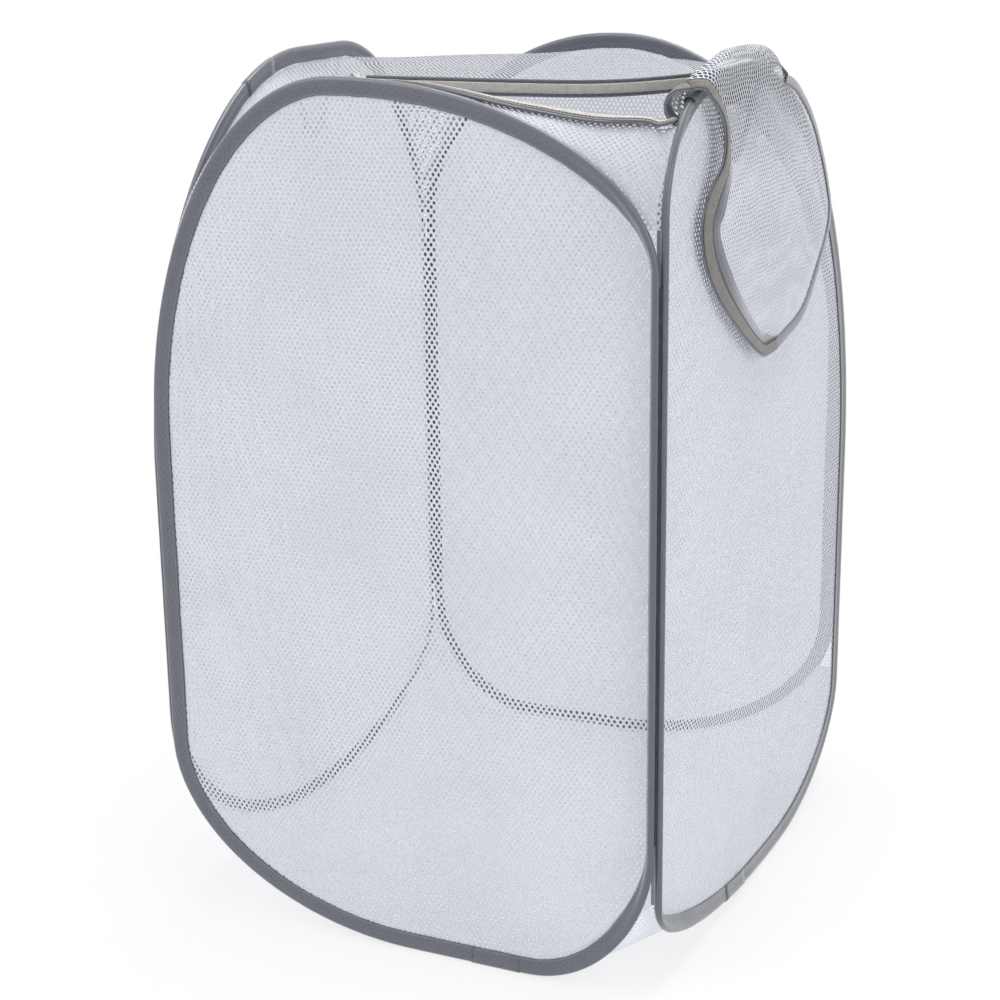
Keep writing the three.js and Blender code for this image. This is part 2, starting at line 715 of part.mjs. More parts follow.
function addHandle(name) {
  const { side, fromShare, drop } = HANDLES[name];
  const from = fromShare * DEPTH * HALF;
  const path = HANDLE_OUTLINE_SHARES.map(([along, down]) => [
    from + along * HANDLE_LENGTH,
    HEIGHT - HANDLE_BELOW_TOP - down * drop,
  ]);
  const strapHalf = STRAP_WIDTH * HALF;
  const outline = [...offsetPath(path, -strapHalf), ...offsetPath(path, strapHalf).reverse()];
  const strapLow = WIDTH * HALF + CLEARANCE;
  const place = (y, z, outwards) => new THREE.Vector3(side * outwards, y, z);
  addPiece(`${name}_handle`, plate(outline, strapLow, strapLow + STRAP_THICKNESS, place), BINDING_GREY);
  const tabFrom = from + (HANDLE_LENGTH - TAB_LENGTH) * HALF;
  const tabTop = HEIGHT - TAB_BELOW_TOP;
  const tabLow = tabTop - TAB_WIDTH;
  const tab = [
    [tabFrom, tabLow],
    [tabFrom + TAB_LENGTH, tabLow],
    [tabFrom + TAB_LENGTH, tabTop],
    [tabFrom, tabTop],
  ];
  const tabOuter = strapLow - CLEARANCE;
  const tabInner = PLANE_X + BAND_HALF_THICKNESS + CLEARANCE;
  addPiece(`${name}_handle_tab`, plate(tab, tabInner, tabOuter, place), TAPE_TAUPE);
}

for (const side of Object.keys(SIDES)) {
  addHoopPieces(side);
  addLap(side);
}
for (const name of Object.keys(SEAMS)) addSeam(name);
addSheets();
addFlap();
addFlapRoot();
addHandle("right");
addHandle("left");

export default group;
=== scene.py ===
"""A pop up laundry hamper: mesh panels on bound wire hoops, a mesh floor and cover, and a flap."""

import bmesh
import bpy
import math
from mathutils import Matrix, Vector, noise


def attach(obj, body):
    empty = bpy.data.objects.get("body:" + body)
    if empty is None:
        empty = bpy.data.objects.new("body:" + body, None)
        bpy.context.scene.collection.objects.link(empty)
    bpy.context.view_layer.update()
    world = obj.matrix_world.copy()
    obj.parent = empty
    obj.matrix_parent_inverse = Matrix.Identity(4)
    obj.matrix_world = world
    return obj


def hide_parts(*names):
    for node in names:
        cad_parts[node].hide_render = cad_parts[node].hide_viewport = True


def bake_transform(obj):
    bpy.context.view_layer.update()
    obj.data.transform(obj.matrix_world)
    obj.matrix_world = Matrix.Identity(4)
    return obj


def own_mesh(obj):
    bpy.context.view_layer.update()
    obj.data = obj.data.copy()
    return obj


bl_info = {
    "name": "Pop up laundry hamper",
    "version": (1, 0, 0),
    "blender": (4, 5, 0),
    "location": "View3D > Sidebar > Hamper",
    "description": "Builds a mesh laundry hamper on spring wire hoops round its packed frame",
    "category": "Object",
}

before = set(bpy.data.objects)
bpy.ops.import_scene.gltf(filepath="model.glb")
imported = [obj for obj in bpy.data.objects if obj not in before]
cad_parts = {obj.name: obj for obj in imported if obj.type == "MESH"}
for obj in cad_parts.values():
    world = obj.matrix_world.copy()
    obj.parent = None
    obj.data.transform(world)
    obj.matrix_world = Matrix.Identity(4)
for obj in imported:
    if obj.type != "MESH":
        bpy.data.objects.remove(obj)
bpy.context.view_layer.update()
MM = 0.001

# Hoops, in metres
WIDTH = 368 * MM
DEPTH = 414 * MM
HEIGHT = 582 * MM
TUBE_RADIUS = 2.6 * MM
LEG_OFFSET = 2.75 * MM
CLEARANCE = 0.3 * MM
CURVE_SHARE = 0.46
CORNER_STEPS = 40
CORNER_HALVINGS = 20
PATH_SPACING = 5 * MM
CURVE_STEPS = 8
# Reach of each rounded corner, as shares of the hoop's length and of its height
HOOP_CORNER_SHARES = {
    "front": {"top": ((0.4, 0.412), (0.58, 0.192)), "bottom": ((0.515, 0.217), (0.246, 0.179))},
    "right": {"top": ((0.189, 0.137), (0.65, 0.533)), "bottom": ((0.613, 0.108), (0.367, 0.141))},
    "back": {"top": ((0.459, 0.253), (0.521, 0.41)), "bottom": ((0.246, 0.179), (0.515, 0.217))},
    "left": {"top": ((0.526, 0.46), (0.323, 0.284)), "bottom": ((0.5, 0.24), (0.45, 0.15))},
}
CORNER_X = WIDTH / 2 - TUBE_RADIUS - LEG_OFFSET
CORNER_Y = DEPTH / 2 - TUBE_RADIUS - LEG_OFFSET
PLANE_X = CORNER_X + LEG_OFFSET
PLANE_Y = CORNER_Y + LEG_OFFSET
HALF_LENGTH = {
    "front": CORNER_X - LEG_OFFSET + TUBE_RADIUS,
    "back": CORNER_X - LEG_OFFSET + TUBE_RADIUS,
    "right": CORNER_Y - LEG_OFFSET + TUBE_RADIUS,
    "left": CORNER_Y - LEG_OFFSET + TUBE_RADIUS,
}
HOOP_CORNERS = {
    side: {
        end: tuple((across * 2 * HALF_LENGTH[side], tall * HEIGHT) for across, tall in corners)
        for end, corners in ends.items()
    }
    for side, ends in HOOP_CORNER_SHARES.items()
}
SHEET_HALF_X = PLANE_X - TUBE_RADIUS - CLEARANCE
SHEET_HALF_Y = PLANE_Y - TUBE_RADIUS - CLEARANCE

# Half section of a hoop's binding: inset from the outer line and half thickness, in millimetres
BAND_SECTION = (
    (12.0, 0.45),
    (11.9, 0.95),
    (11.0, 1.15),
    (8.6, 1.2),
    (6.9, 1.3),
    (5.7, 1.7),
    (4.3, 2.1),
    (2.9, 2.2),
    (1.7, 2.0),
    (0.9, 1.4),
    (0.45, 0.6),
)
BAND_WIDTH = 12 * MM
# Puckers all over a binding and the wave of its free edge: depth, and how many to the metre
PUCKER = 0.22 * MM
PUCKER_RATE = 140
PUCKER_SEED = 3.1
EDGE_WAVE = 1.6 * PUCKER
EDGE_WAVE_RATES = (90, 300)
FREE_EDGE_INSET = 8 * MM
# Half section of an edge strip or a tape as shares of its width and of its thickness
STRIP_SECTION_SHARES = ((1, 0.3), (0.97, 0.85), (0.6, 0.95), (0.16, 1), (0.04, 0.85), (0, 0.3))
STRIP_THICKNESS = 1.7 * MM
TAPE_THICKNESS = 1.1 * MM
# Turn of the binding about its wire at each side's first and last leg, in degrees: it turns at the
# corners that open as the hamper folds, and the panel beside it follows within a reach
LEG_TURNS = {"front": (0, 58), "right": (48, 0), "back": (38, 0), "left": (0, 38)}
LEG_SHIFT = 0.7 * MM
LEG_TURN_FADE = 100 * MM
TURN_REACH = 60 * MM
# Laps: middle as a share of the hoop's length and whether it is at the top, then their own sizes
LAPS = {"front": (0.19, False), "right": (-0.127, False), "back": (-0.19, False), "left": (-0.12, True)}
LAP_LENGTH = 42 * MM
LAP_REACH = 11.9 * MM
LAP_PROUD = 0.25 * MM
LAP_THICKER = 0.4 * MM

# Mesh panels: their rim lies inside the binding, and their ripple fades out towards sides and ends
PANEL_INSET = 7 * MM
PANEL_CELL = 6 * MM
PANEL_RIPPLE = 1.1 * MM
PANEL_RIPPLE_RATES = (9, 7)
PANEL_RIPPLE_SEEDS = {"front": 8.5, "right": 8.5, "back": 6.8, "left": 6.8}
PANEL_FADES = (70 * MM, 90 * MM)

# Finishes: the mesh's holes, the shift of its threads, and shares of painted light and painted shade
MESH_PITCH = (3.75 * MM, 5.7 * MM)
MESH_HOLE = (0.98 * MM, 1.22 * MM)
MESH_WANDER = 2.4 * MM
FAR_FUZZ = 0.55
# Painted light: the far mesh glows a little, standing in for light that its threads pass on
FAR_PAINTED_GLOW = 0.25
# Painted shade: the cover's mesh is a darker copy of the sides' white mesh
COVER_PAINTED_SHADE = 0.8
# Heights from which the cover and the flap come to lie level, where painted shade falls on the threads' sides
COVER_LEVEL_FROM = HEIGHT - 24 * MM
FLAP_LEVEL_FROM = HEIGHT - 80 * MM
LEVEL_TO = HEIGHT - 12 * MM
# Ramps out from a hole's middle, its rim being at 1: into the thread, over its side, where painted shade
# falls, and up to its crest
HOLE_RAMP = (0.6, 1.2)
THREAD_SIDES = (1.1, 1.4)
THREAD_CRESTS = (1.0, 1.7)
# Painted shade on the threads' sides, as a share of the mesh's colour
THREAD_SIDE_PAINTED_SHADE = 0.08
# In from a binding's inner edge: a groove, painted darker as shade, a ridge as place and half widths,
# painted lighter as a highlight, and the holes' print
BINDING_GROOVE = (0.25 * MM, 0.8 * MM)
BINDING_RIDGE = (1.3 * MM, 0.2 * MM, 0.5 * MM)
PRINT_STARTS = (1.6 * MM, 2.4 * MM)
PRINT_ENDS = (6 * MM, 8 * MM)
PRINT_RAMP = (0.6, 1.3)
RIB_SPACING = 1.6 * MM
RIBBED_RIM = 2 * MM
TAPE_RIB_SPACING = 0.9 * MM
# Stitched lines as place and half widths, in from a lap's ends and from a tape's inner edge
LAP_STITCHES = (1.2 * MM, 0.3 * MM, 0.7 * MM)
TAPE_STITCHES = (0.7 * MM, 0.35 * MM, 0.7 * MM)
STITCH_SPACING = 2.4 * MM
HOOK_SHADE = 0.42
# Depths of the bumps
MESH_BUMP = 0.25 * MM
BINDING_BUMP = 0.35 * MM
TAPE_BUMP = 0.45 * MM
PLAIN_BUMP = 0.1 * MM

# Floor and cover
FLOOR_REACH = 110 * MM
COVER_REACH = 120 * MM
SHEET_EDGE_INSET = 3.5 * MM
# The cover meets the back and left hoops at the inner edge of their binding
COVER_EDGE_INSETS = {"front": 3.5 * MM, "right": 3.5 * MM, "back": 12.5 * MM, "left": 12.5 * MM}
DRAPE_LIFT = 0.6 * MM
COVER_MIDDLE_DROP = 12 * MM
DRAPE_CELLS = 92
DRAPE_RIPPLE = 1.2 * MM
DRAPE_RIPPLE_RATE = 11
DRAPE_RIPPLE_SEED = 0.5
DRAPE_FADE = 50 * MM
# Half the depth of the band across the middle where the pattern turns from one side's rise to the other's
PATTERN_TURN = 40 * MM
# Edges of the tongue shaped opening, as shares of half the width and half the depth, in plan
OPENING_NEAR_SHARES = (
    (0.967, -0.848),
    (0.87, -0.838),
    (0.707, -0.857),
    (0.54, -0.867),
    (0.326, -0.9),
    (0.11, -0.88),
    (-0.11, -0.79),
    (-0.27, -0.64),
    (-0.38, -0.49),
)
OPENING_FAR_SHARES = (
    (-0.38, -0.455),
    (-0.11, -0.445),
    (0.217, -0.44),
    (0.489, -0.4),
    (0.707, -0.27),
    (0.928, -0.066),
)
# The cut runs on past the right hoop: reach as a share of half the width, ends as shares of half the depth
OPENING_BEYOND_SHARE = 1.1
OPENING_END_SHARES = (-0.03, 0.02)
# Strips along the opening, each as inset and width of its binding and of its tape. The near one lies on the
# cover and narrows towards the right hoop, and the far one hangs from its rim with a slight lean.
NEAR_STRIP = ((-1.2 * MM, 10.5 * MM), (1.3 * MM, 5.8 * MM))
FAR_STRIP = ((0, 11.5 * MM), (2.4 * MM, 6.4 * MM))
STRIP_REACH = 6 * MM
STRIP_SLOPE = 0.35
STRIP_LEAN = 0.15
NEAR_STRIP_START_SHARE = 0.6
NEAR_STRIP_TAPER_SHARE = 0.2

# Flap: its hinge line above the right hoop, and its reach along the hoop and down
FLAP_HINGE_X = WIDTH / 2 + 1 * MM
FLAP_HINGE_Z = HEIGHT + 8.7 * MM
FLAP_LENGTH = 304 * MM
FLAP_NEAR_Y = -170 * MM
FLAP_DROP = 200 * MM
FLAP_ROLL = 6.5 * MM
FLAP_STAND = 6 * MM
FLAP_CELLS = (72, 84)
# Flat length and drop, with what the roll and the tip take up
FLAP_FLAT = (FLAP_LENGTH * 1.02, FLAP_DROP + 50 * MM)
# Hanging face: mean stand and its swell, ripple, and how far in from the near and far edge it hangs free
FLAP_STAND_SHARE = 0.95
FLAP_SWELL_SHARE = 0.28
FLAP_RIPPLE = 1.2 * MM
FLAP_RIPPLE_RATES = (14, 2)
FLAP_RIPPLE_SEED = 7
FLAP_FREE_FROM = (15 * MM, 45 * MM)
FLAP_UNDER_ROLL_SHARE = 0.1
# Fold over the hoop: place along the flap, drop and inward shift of the fold's centre, and its radius,
# as shares of the flap's length, of its drop and of the roll's radius
FLAP_FOLD_SHARES = (
    (-0.02, 0.138, 1.05, 1.56),
    (0.007, 0.126, 1.0, 1.5),
    (0.033, 0.104, 0.76, 1.42),
    (0.066, 0.076, 0.5, 1.27),
    (0.099, 0.051, 0.27, 1.13),
    (0.148, 0.027, 0, 1.0),
    (0.204, 0.011, 0, 1.0),
    (0.332, 0.011, 0, 1.0),
    (0.428, 0.023, 0, 1.0),
    (0.5, 0.05, 0.15, 0.85),
    (0.566, 0.091, 0.38, 0.7),
    (0.6, 0.115, 0.45, 0.62),
)
# Edge of the hanging face: place along the flap, drop, and stand off the hinge plane, as shares
FLAP_NEAR_SHARES = (
    (0.049, 0.091, 0.87),
    (0.072, 0.118, 1.08),
    (0.095, 0.148, 1.22),
    (0.118, 0.181, 1.27),
    (0.129, 0.221, 1.25),
    (0.131, 0.266, 1.25),
    (0.129, 0.311, 1.0),
    (0.107, 0.352, 0.6),
    (0.08, 0.407, 0.22),
    (0.058, 0.463, 0.17),
    (0.06, 0.538, 0.17),
    (0.087, 0.615, 0.17),
    (0.132, 0.694, 0.25),
    (0.194, 0.78, 0.5),
    (0.319, 0.906, 0.67),
    (0.43, 0.995, 0.83),
    (0.477, 1.002, 0.85),
)
FLAP_FAR_SHARES = (
    (0.477, 1.002, 0.85),
    (0.523, 1.001, 0.85),
    (0.685, 0.963, 0.83),
    (0.765, 0.918, 0.75),
    (0.855, 0.82, 0.58),
    (0.917, 0.748, 0.42),
    (0.96, 0.674, 0.33),
    (0.968, 0.604, 0.27),
    (0.955, 0.554, 0.25),
    (0.908, 0.439, 0.22),
    (0.842, 0.321, 0.22),
    (0.789, 0.249, 0.25),
    (0.735, 0.194, 0.27),
    (0.655, 0.129, 0.33),
    (0.566, 0.091, 0.37),
)
# The roll over the hoop: its turn in degrees in the ring at its near end and elsewhere, the length over
# which one becomes the other, the ring's opening towards its outer side, and its share of the cloth's rows
RING_TURN = 255
FOLD_TURN = 200
RING_LENGTH = 45 * MM
RING_OPENING = 15 * MM
RING_OPENING_TURN = 100
ROLL_SHARE = 0.2
RING_STEPS = 40
FOLD_STEPS = 30
FLAP_REACH = 10 * MM
# Widths along the flap's edge, the drop at which the wide part starts, and stations that a change takes
FLAP_STRIP_WIDTH = 16.5 * MM
FLAP_RING_WIDTH = 7.4 * MM
FLAP_WIDE_DROP = 28 * MM
FLAP_TAPE_WIDTH = 8.2 * MM
FLAP_FAR_WIDTH = 7 * MM
RING_TAPE_WIDTH = FLAP_TAPE_WIDTH - 2 * MM
FLAP_TAPE_INSET = MM
FLAP_TAPER_STATIONS = 8
# The ring's strips end where the rim comes out past this, and the hook tape ends some stations past the tip
RING_END_X = FLAP_HINGE_X - FLAP_ROLL * 0.8
TAPE_PAST_TIP = 2

# Carry handles
STRAP_WIDTH = 8 * MM
STRAP_THICKNESS = 1 * MM
# Upper half of a strap's section, as shares of half its width and of half its thickness
STRAP_SECTION_SHARES = ((-1, 0.5), (-0.9, 1), (0.9, 1), (1, 0.5))
HANDLE_TOP = HEIGHT - 9 * MM
HANDLE_SHARES = ((0, 0), (0.18, 0.44), (0.32, 0.84), (0.41, 1), (0.52, 0.97), (0.76, 0.5), (1, 0))
HANDLE_LENGTH = 84 * MM
# Outward sign, start as a share of half the depth, and drop of each handle
HANDLES = {"right": (1, -0.594, 44 * MM), "left": (-1, -0.024, 56 * MM)}

# Stage: the camera's azimuth, elevation and roll in degrees, and its aim, distance and lens
CAMERA_ANGLES = (24.972, 16.427, -0.739)
CAMERA_AIM = (0, 0, 0.3)
CAMERA_AIM_LEFT = 0.01818
CAMERA_AIM_DOWN = 0.03693
CAMERA_DISTANCE = 1.5
CAMERA_LENS = 74.49
# Name, place, size and power in watts of each lamp
LAMPS = (
    ("Key lamp", (-1.3, -1.9, 2.3), 1.8, 25),
    ("Fill lamp", (2.2, -1.2, 1.2), 1.6, 16),
    ("Top lamp", (0.2, 0.3, 2.6), 1.6, 42),
)
LAMP_AIM = (0, 0, 0.3)
WORLD_COLOUR = (0.5, 0.51, 0.54, 1)
# The floor's shadow shows near the hamper, and fades out to white between these distances
SHADOW_FADE = (0.22, 0.5)
NEAR_WHITE_SHARE = 0.72
TRANSPARENT_BOUNCES = 48


def lerp(a, b, share):
    return a + (b - a) * share


def smooth(share):
    share = min(max(share, 0.0), 1.0)
    return share * share * (3 - 2 * share)


def side_place(side):
    """The function that sets a point of one side in space: u along the side, z up and n outwards."""
    places = {
        "front": lambda u, z, n: Vector((u, -PLANE_Y - n, z)),
        "right": lambda u, z, n: Vector((PLANE_X + n, u, z)),
        "back": lambda u, z, n: Vector((u, PLANE_Y + n, z)),
        "left": lambda u, z, n: Vector((-PLANE_X - n, u, z)),
    }
    return places[side]


def corner_at(corner, t):
    """Distances from the upright leg and from the level end, t being 0 on the leg and 1 on the level end."""
    across, tall = corner
    s = 1 - t
    handle = 3 * s * t * CURVE_SHARE
    return across * (handle * t + t**3), tall * (s**3 + handle * s)


def hoop_line(side):
    """The hoop's closed outer line in its own plane, evenly spaced, each point with its inward direction."""
    half = HALF_LENGTH[side]
    tops = HOOP_CORNERS[side]["top"]
    bottoms = HOOP_CORNERS[side]["bottom"]
    corners = ((bottoms[1], 1, False), (tops[1], 1, True), (tops[0], -1, True), (bottoms[0], -1, False))
    points = []
    for index, (corner, end, top) in enumerate(corners):
        for i in range(CORNER_STEPS + 1):
            t = i / CORNER_STEPS
            t = t if index % 2 else 1 - t
            from_side, from_end = corner_at(corner, t)
            points.append((end * (half - from_side), HEIGHT - from_end if top else from_end))
    return evenly(points, True)


def evenly(points, closed):
    """A plane path resampled at about the usual spacing, each point with the direction to its left."""
    return with_sideways(resampled(list(points) + ([points[0]] if closed else []), closed), closed)


def resampled(path, closed, measured=2):
    """Points at the usual spacing along a path, its length taken over the first measured numbers of each."""
    lengths = [math.dist(a[:measured], b[:measured]) for a, b in zip(path, path[1:])]
    total = sum(lengths)
    count = max(2, round(total / PATH_SPACING))
    even = []
    index = 0
    passed = 0.0
    for i in range(count if closed else count + 1):
        wanted = total * i / count
        while index < len(lengths) - 1 and passed + lengths[index] < wanted:
            passed += lengths[index]
            index += 1
        share = (wanted - passed) / lengths[index] if lengths[index] else 0.0
        even.append(tuple(lerp(a, b, share) for a, b in zip(path[index], path[index + 1])))
    return even


def with_sideways(even, closed):
    found = []
    last = len(even) - 1
    for i, (a, b) in enumerate(even):
        before = even[i - 1] if closed or i else even[0]
        after = even[(i + 1) % len(even)] if closed or i < last else even[last]
        length = math.dist(before, after) or 1.0
        found.append((a, b, -(after[1] - before[1]) / length, (after[0] - before[0]) / length))
    return found


def rounded_path(points):
    """A smooth curve through chosen points."""
    curve = []
    for i in range(len(points) - 1):
        p0 = points[max(i - 1, 0)]
        p1 = points[i]
        p2 = points[i + 1]
        p3 = points[min(i + 2, len(points) - 1)]
        for step in range(CURVE_STEPS):
            t = step / CURVE_STEPS
            curve.append(tuple(spline(a, b, c, d, t) for a, b, c, d in zip(p0, p1, p2, p3)))
    return curve + [points[-1]]


def spline(a, b, c, d, t):
    return 0.5 * (2 * b + (c - a) * t + (2 * a - 5 * b + 4 * c - d) * t**2 + (3 * b - a - 3 * c + d) * t**3)


def end_drop(side, u, top):
    """How far the hoop's outer line lies from its level end at u along the side."""
    half = HALF_LENGTH[side]
    start, end = HOOP_CORNERS[side]["top" if top else "bottom"]
    return max(corner_cross(start, half + u, True), corner_cross(end, half - u, True))


def corner_cross(corner, value, from_side):
    """A corner's distance from its level end at a distance from its leg, or the other way round."""
    which = 0 if from_side else 1
    if value >= corner[which]:
        return 0.0
    low, high = 0.0, 1.0
    for _ in range(CORNER_HALVINGS):
        middle = (low + high) / 2
        if (corner_at(corner, middle)[which] < max(value, 0.0)) == from_side:
            low = middle
        else:
            high = middle
    return corner_at(corner, low)[1 - which]


def leg_turn(side, at_start, z):
    """How far the binding turns about its wire beside a sewn corner, fading out where the two hoops part."""
    which = 0 if at_start else 1
    low = HOOP_CORNERS[side]["bottom"][which][1]
    high = HOOP_CORNERS[side]["top"][which][1]
    sewn = smooth((z - low) / min(LEG_TURN_FADE, low) + 1)
    sewn *= smooth((HEIGHT - high - z) / min(LEG_TURN_FADE, high) + 1)
    return math.radians(LEG_TURNS[side][which]) * sewn


def panel_turn(side, u, z):
    """How far the panel lies inwards beside its turned binding."""
    half = HALF_LENGTH[side]
    depth = 0.0
    for at_start in (True, False):
        turn = leg_turn(side, at_start, z)
        beyond = (half + u if at_start else half - u) - TUBE_RADIUS
        if turn > 0 and beyond < 2 * TURN_REACH:
            which = 0 if at_start else 1
            beyond -= max(
                corner_cross(HOOP_CORNERS[side]["top"][which], HEIGHT - z, False),
                corner_cross(HOOP_CORNERS[side]["bottom"][which], z, False),
            )
            band = (BAND_WIDTH - TUBE_RADIUS) * math.cos(turn)
            fade = 1 - smooth((beyond - band) / TURN_REACH)
            depth += min(max(beyond, 0.0), band) * math.tan(turn) * fade
    return -depth


def carry(piece, body, node):
    """The piece rides a body and stands for a CAD node, which it hides."""
    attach(piece, body)
    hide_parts(node)


def new_object(name, mesh_builder, material):
    mesh = bpy.data.meshes.new(name)
    mesh_builder.to_mesh(mesh)
    mesh_builder.free()
    piece = bpy.data.objects.new(name, mesh)
    bpy.context.scene.collection.objects.link(piece)
    mesh.materials.append(material)
    for polygon in mesh.polygons:
        polygon.use_smooth = True
    return piece


def grid_piece(name, across, along, place, size, material, measure=None, ring=False):
    """Cloth on a grid: place(u, v) sets each point, u and v running from 0 to 1 over size in metres.

    With a measure, which gives the metres across at u, the grid closes into a folded section. Its ends then
    close on each other as a ring, or with a cap each.
    """
    builder = bmesh.new()
    bmesh.ops.create_grid(builder, x_segments=across, y_segments=along, size=1)
    layer = builder.loops.layers.uv.new("cloth")
    flat = {vert: ((vert.co.x + 1) / 2, (vert.co.y + 1) / 2) for vert in builder.verts}
    for face in builder.faces:
        for loop in face.loops:
            u, v = flat[loop.vert]
            loop[layer].uv = (measure(u) if measure else u * size[0], v * size[1])
    for vert, (u, v) in flat.items():
        vert.co = place(u, v)
    if measure:
        bmesh.ops.remove_doubles(builder, verts=builder.verts, dist=1e-6)
        if not ring:
            bmesh.ops.holes_fill(builder, edges=builder.edges, sides=0)
        bmesh.ops.recalc_face_normals(builder, faces=builder.faces)
    return new_object(name, builder, material)


def full_section(half_section, unit=MM):
    upper = [(inset * unit, height * unit) for inset, height in half_section]
    lower = [(inset, -height) for inset, height in reversed(upper)]
    return upper + lower


def strip_section(start, width, thickness):
    """Both faces of a flat strip that starts at an inset from the rim."""
    half = [(start + share * width, tall * thickness / 2) for share, tall in STRIP_SECTION_SHARES]
    return full_section(half, 1)


def girth_measure(section):
    """The function that turns a place round a section, from 0 to 1, into metres along its outline."""
    count = len(section)
    passed = [0.0]
    for i in range(count):
        passed.append(passed[-1] + math.dist(section[i], section[(i + 1) % count]))
    return lambda u: passed[round(u * count)]


def edge_band(name, line, section, place, material, ring=False, turn_at=None):
    """A folded cloth band along a line of one plane, whose points place(a, b, height) sets in space."""
    count = len(section)
    stations = len(line)
    spans = stations if ring else stations - 1

    def put(u, v):
        a, b, side_a, side_b = line[round(v * spans) % stations]
        inset, height = section[round(u * count) % count]
        if inset > FREE_EDGE_INSET:
            spot = Vector((a * EDGE_WAVE_RATES[0], b * EDGE_WAVE_RATES[0], inset * EDGE_WAVE_RATES[1]))
            inset += EDGE_WAVE * noise.noise(spot)
        pucker = PUCKER * noise.noise(Vector((a * PUCKER_RATE, b * PUCKER_RATE, PUCKER_SEED)))
        height += math.copysign(pucker, height)
        if turn_at:
            turn = turn_at(a, b)
            beyond = inset - TUBE_RADIUS
            shift = LEG_SHIFT * math.sin(turn)
            inset = TUBE_RADIUS + beyond * math.cos(turn) + height * math.sin(turn) - shift
            height = height * math.cos(turn) - beyond * math.sin(turn) - shift
        return place(a + side_a * inset, b + side_b * inset, height)

    measure = girth_measure(section)
    size = (measure(1), spans * PATH_SPACING)
    return grid_piece(name, count, spans, put, size, material, measure, ring)


def strip_piece(name, path, start, width_at, thickness, lift, material):
    """A flat strip along a cloth's rim: path holds rim points, each with one further into the cloth."""
    spans = len(path) - 1
    section = strip_section(0, 1, 1)
    count = len(section)
    frames = []
    for i, point in enumerate(path):
        rim = Vector(point[:3])
        travel = (Vector(path[min(i + 1, spans)][:3]) - Vector(path[max(i - 1, 0)][:3])).normalized()
        inwards = Vector(point[3:]) - rim
        inwards = (inwards - travel * inwards.dot(travel)).normalized()
        frames.append((rim, inwards, travel.cross(inwards)))

    def put(u, v):
        rim, inwards, outwards = frames[round(v * spans)]
        share, tall = section[round(u * count) % count]
        return rim + inwards * (start + share * width_at(v)) + outwards * (tall * thickness + lift)

    measure = girth_measure(strip_section(start, width_at(0), thickness))
    size = (measure(1), spans * PATH_SPACING)
    return grid_piece(name, count, spans, put, size, material, measure)


class Signal:
    """A value or colour on its way through a material."""

    def __init__(self, paint, socket):
        self.paint = paint
        self.socket = socket

    def maths(self, operation, *others):
        return self.paint.node("ShaderNodeMath", self, *others, operation=operation)

    def __add__(self, other):
        return self.maths("ADD", other)

    def __sub__(self, other):
        return self.maths("SUBTRACT", other)

    def __mul__(self, other):
        return self.maths("MULTIPLY", other)

    def __truediv__(self, other):
        return self.maths("DIVIDE", other)

    def __rsub__(self, other):
        return self.paint.node("ShaderNodeMath", other, self, operation="SUBTRACT")

    def least(self, other):
        return self.maths("MINIMUM", other)

    def most(self, other):
        return self.maths("MAXIMUM", other)

    def fraction(self):
        return self.maths("FRACT")

    def root(self):
        return self.maths("SQRT")

    def size(self):
        return self.maths("ABSOLUTE")

    def ramp(self, low, high, start=0.0, end=1.0):
        """Start at low, end at high, smooth between."""
        return self.paint.node(
            "ShaderNodeMapRange", self, low, high, start, end, interpolation_type="SMOOTHSTEP", clamp=True
        )

    def line_at(self, place, inner, outer):
        """1 within inner of a place, 0 past outer."""
        return (self - place).size().ramp(inner, outer, 1.0, 0.0)


class Paint:
    """One material on its way: a Principled shader and the nodes that feed it."""

    def __init__(self, name, roughness, sheen=0.0, specular=0.3):
        self.material = bpy.data.materials.new(name)
        self.material.use_nodes = True
        self.nodes = self.material.node_tree.nodes
        self.links = self.material.node_tree.links
        self.shader = self.nodes["Principled BSDF"]
        self.shader.inputs["Roughness"].default_value = roughness
        self.shader.inputs["Sheen Weight"].default_value = sheen
        self.shader.inputs["Sheen Roughness"].default_value = 0.45
        self.shader.inputs["Specular IOR Level"].default_value = specular

    def node(self, kind, *inputs, output=0, **settings):
        made = self.nodes.new(kind)
        for key, value in settings.items():
            setattr(made, key, value)
        for socket, value in zip(made.inputs, inputs):
            self.feed(socket, value)
        return Signal(self, made.outputs[output])

    def feed(self, socket, value):
        if isinstance(value, Signal):
            self.links.new(value.socket, socket)
        elif value is not None:
            socket.default_value = value

    def cloth_axes(self):
        """Metres across and along the piece, from its own UV map."""
        spot = self.node("ShaderNodeUVMap", uv_map="cloth")
        split = self.nodes.new("ShaderNodeSeparateXYZ")
        self.links.new(spot.socket, split.inputs[0])
        return Signal(self, split.outputs[0]), Signal(self, split.outputs[1])

    def height(self):
        """Height above the floor."""
        return self.node("ShaderNodeSeparateXYZ", self.node("ShaderNodeTexCoord", output=3), output=2)

    def wander(self, scale):
        """A slow shift of the cloth's threads, in metres."""
        return (self.speckle(scale, 1.0) - 0.5) * (MESH_WANDER * 2)

    def speckle(self, scale, detail=3.0):
        place = self.node("ShaderNodeTexCoord", output=3)
        return self.node("ShaderNodeTexNoise", place, None, scale, detail, noise_dimensions="3D")

    def blend(self, share, first, second):
        made = self.nodes.new("ShaderNodeMix")
        made.data_type = "RGBA"
        self.feed(made.inputs[0], share)
        self.feed(made.inputs[6], first)
        self.feed(made.inputs[7], second)
        return Signal(self, made.outputs[2])

    def bump(self, height, distance, strength=1.0):
        made = self.nodes.new("ShaderNodeBump")
        self.feed(made.inputs["Height"], height)
        made.inputs["Distance"].default_value = distance
        made.inputs["Strength"].default_value = strength
        self.links.new(made.outputs[0], self.shader.inputs["Normal"])

    def set(self, socket, value):
        self.feed(self.shader.inputs[socket], value)


def shaded(colour, share):
    return tuple(min(value * share, 1.0) for value in colour)


def opaque(colour, share=1.0):
    """A shade of a colour, as a socket takes it."""
    return shaded(colour, share) + (1,)


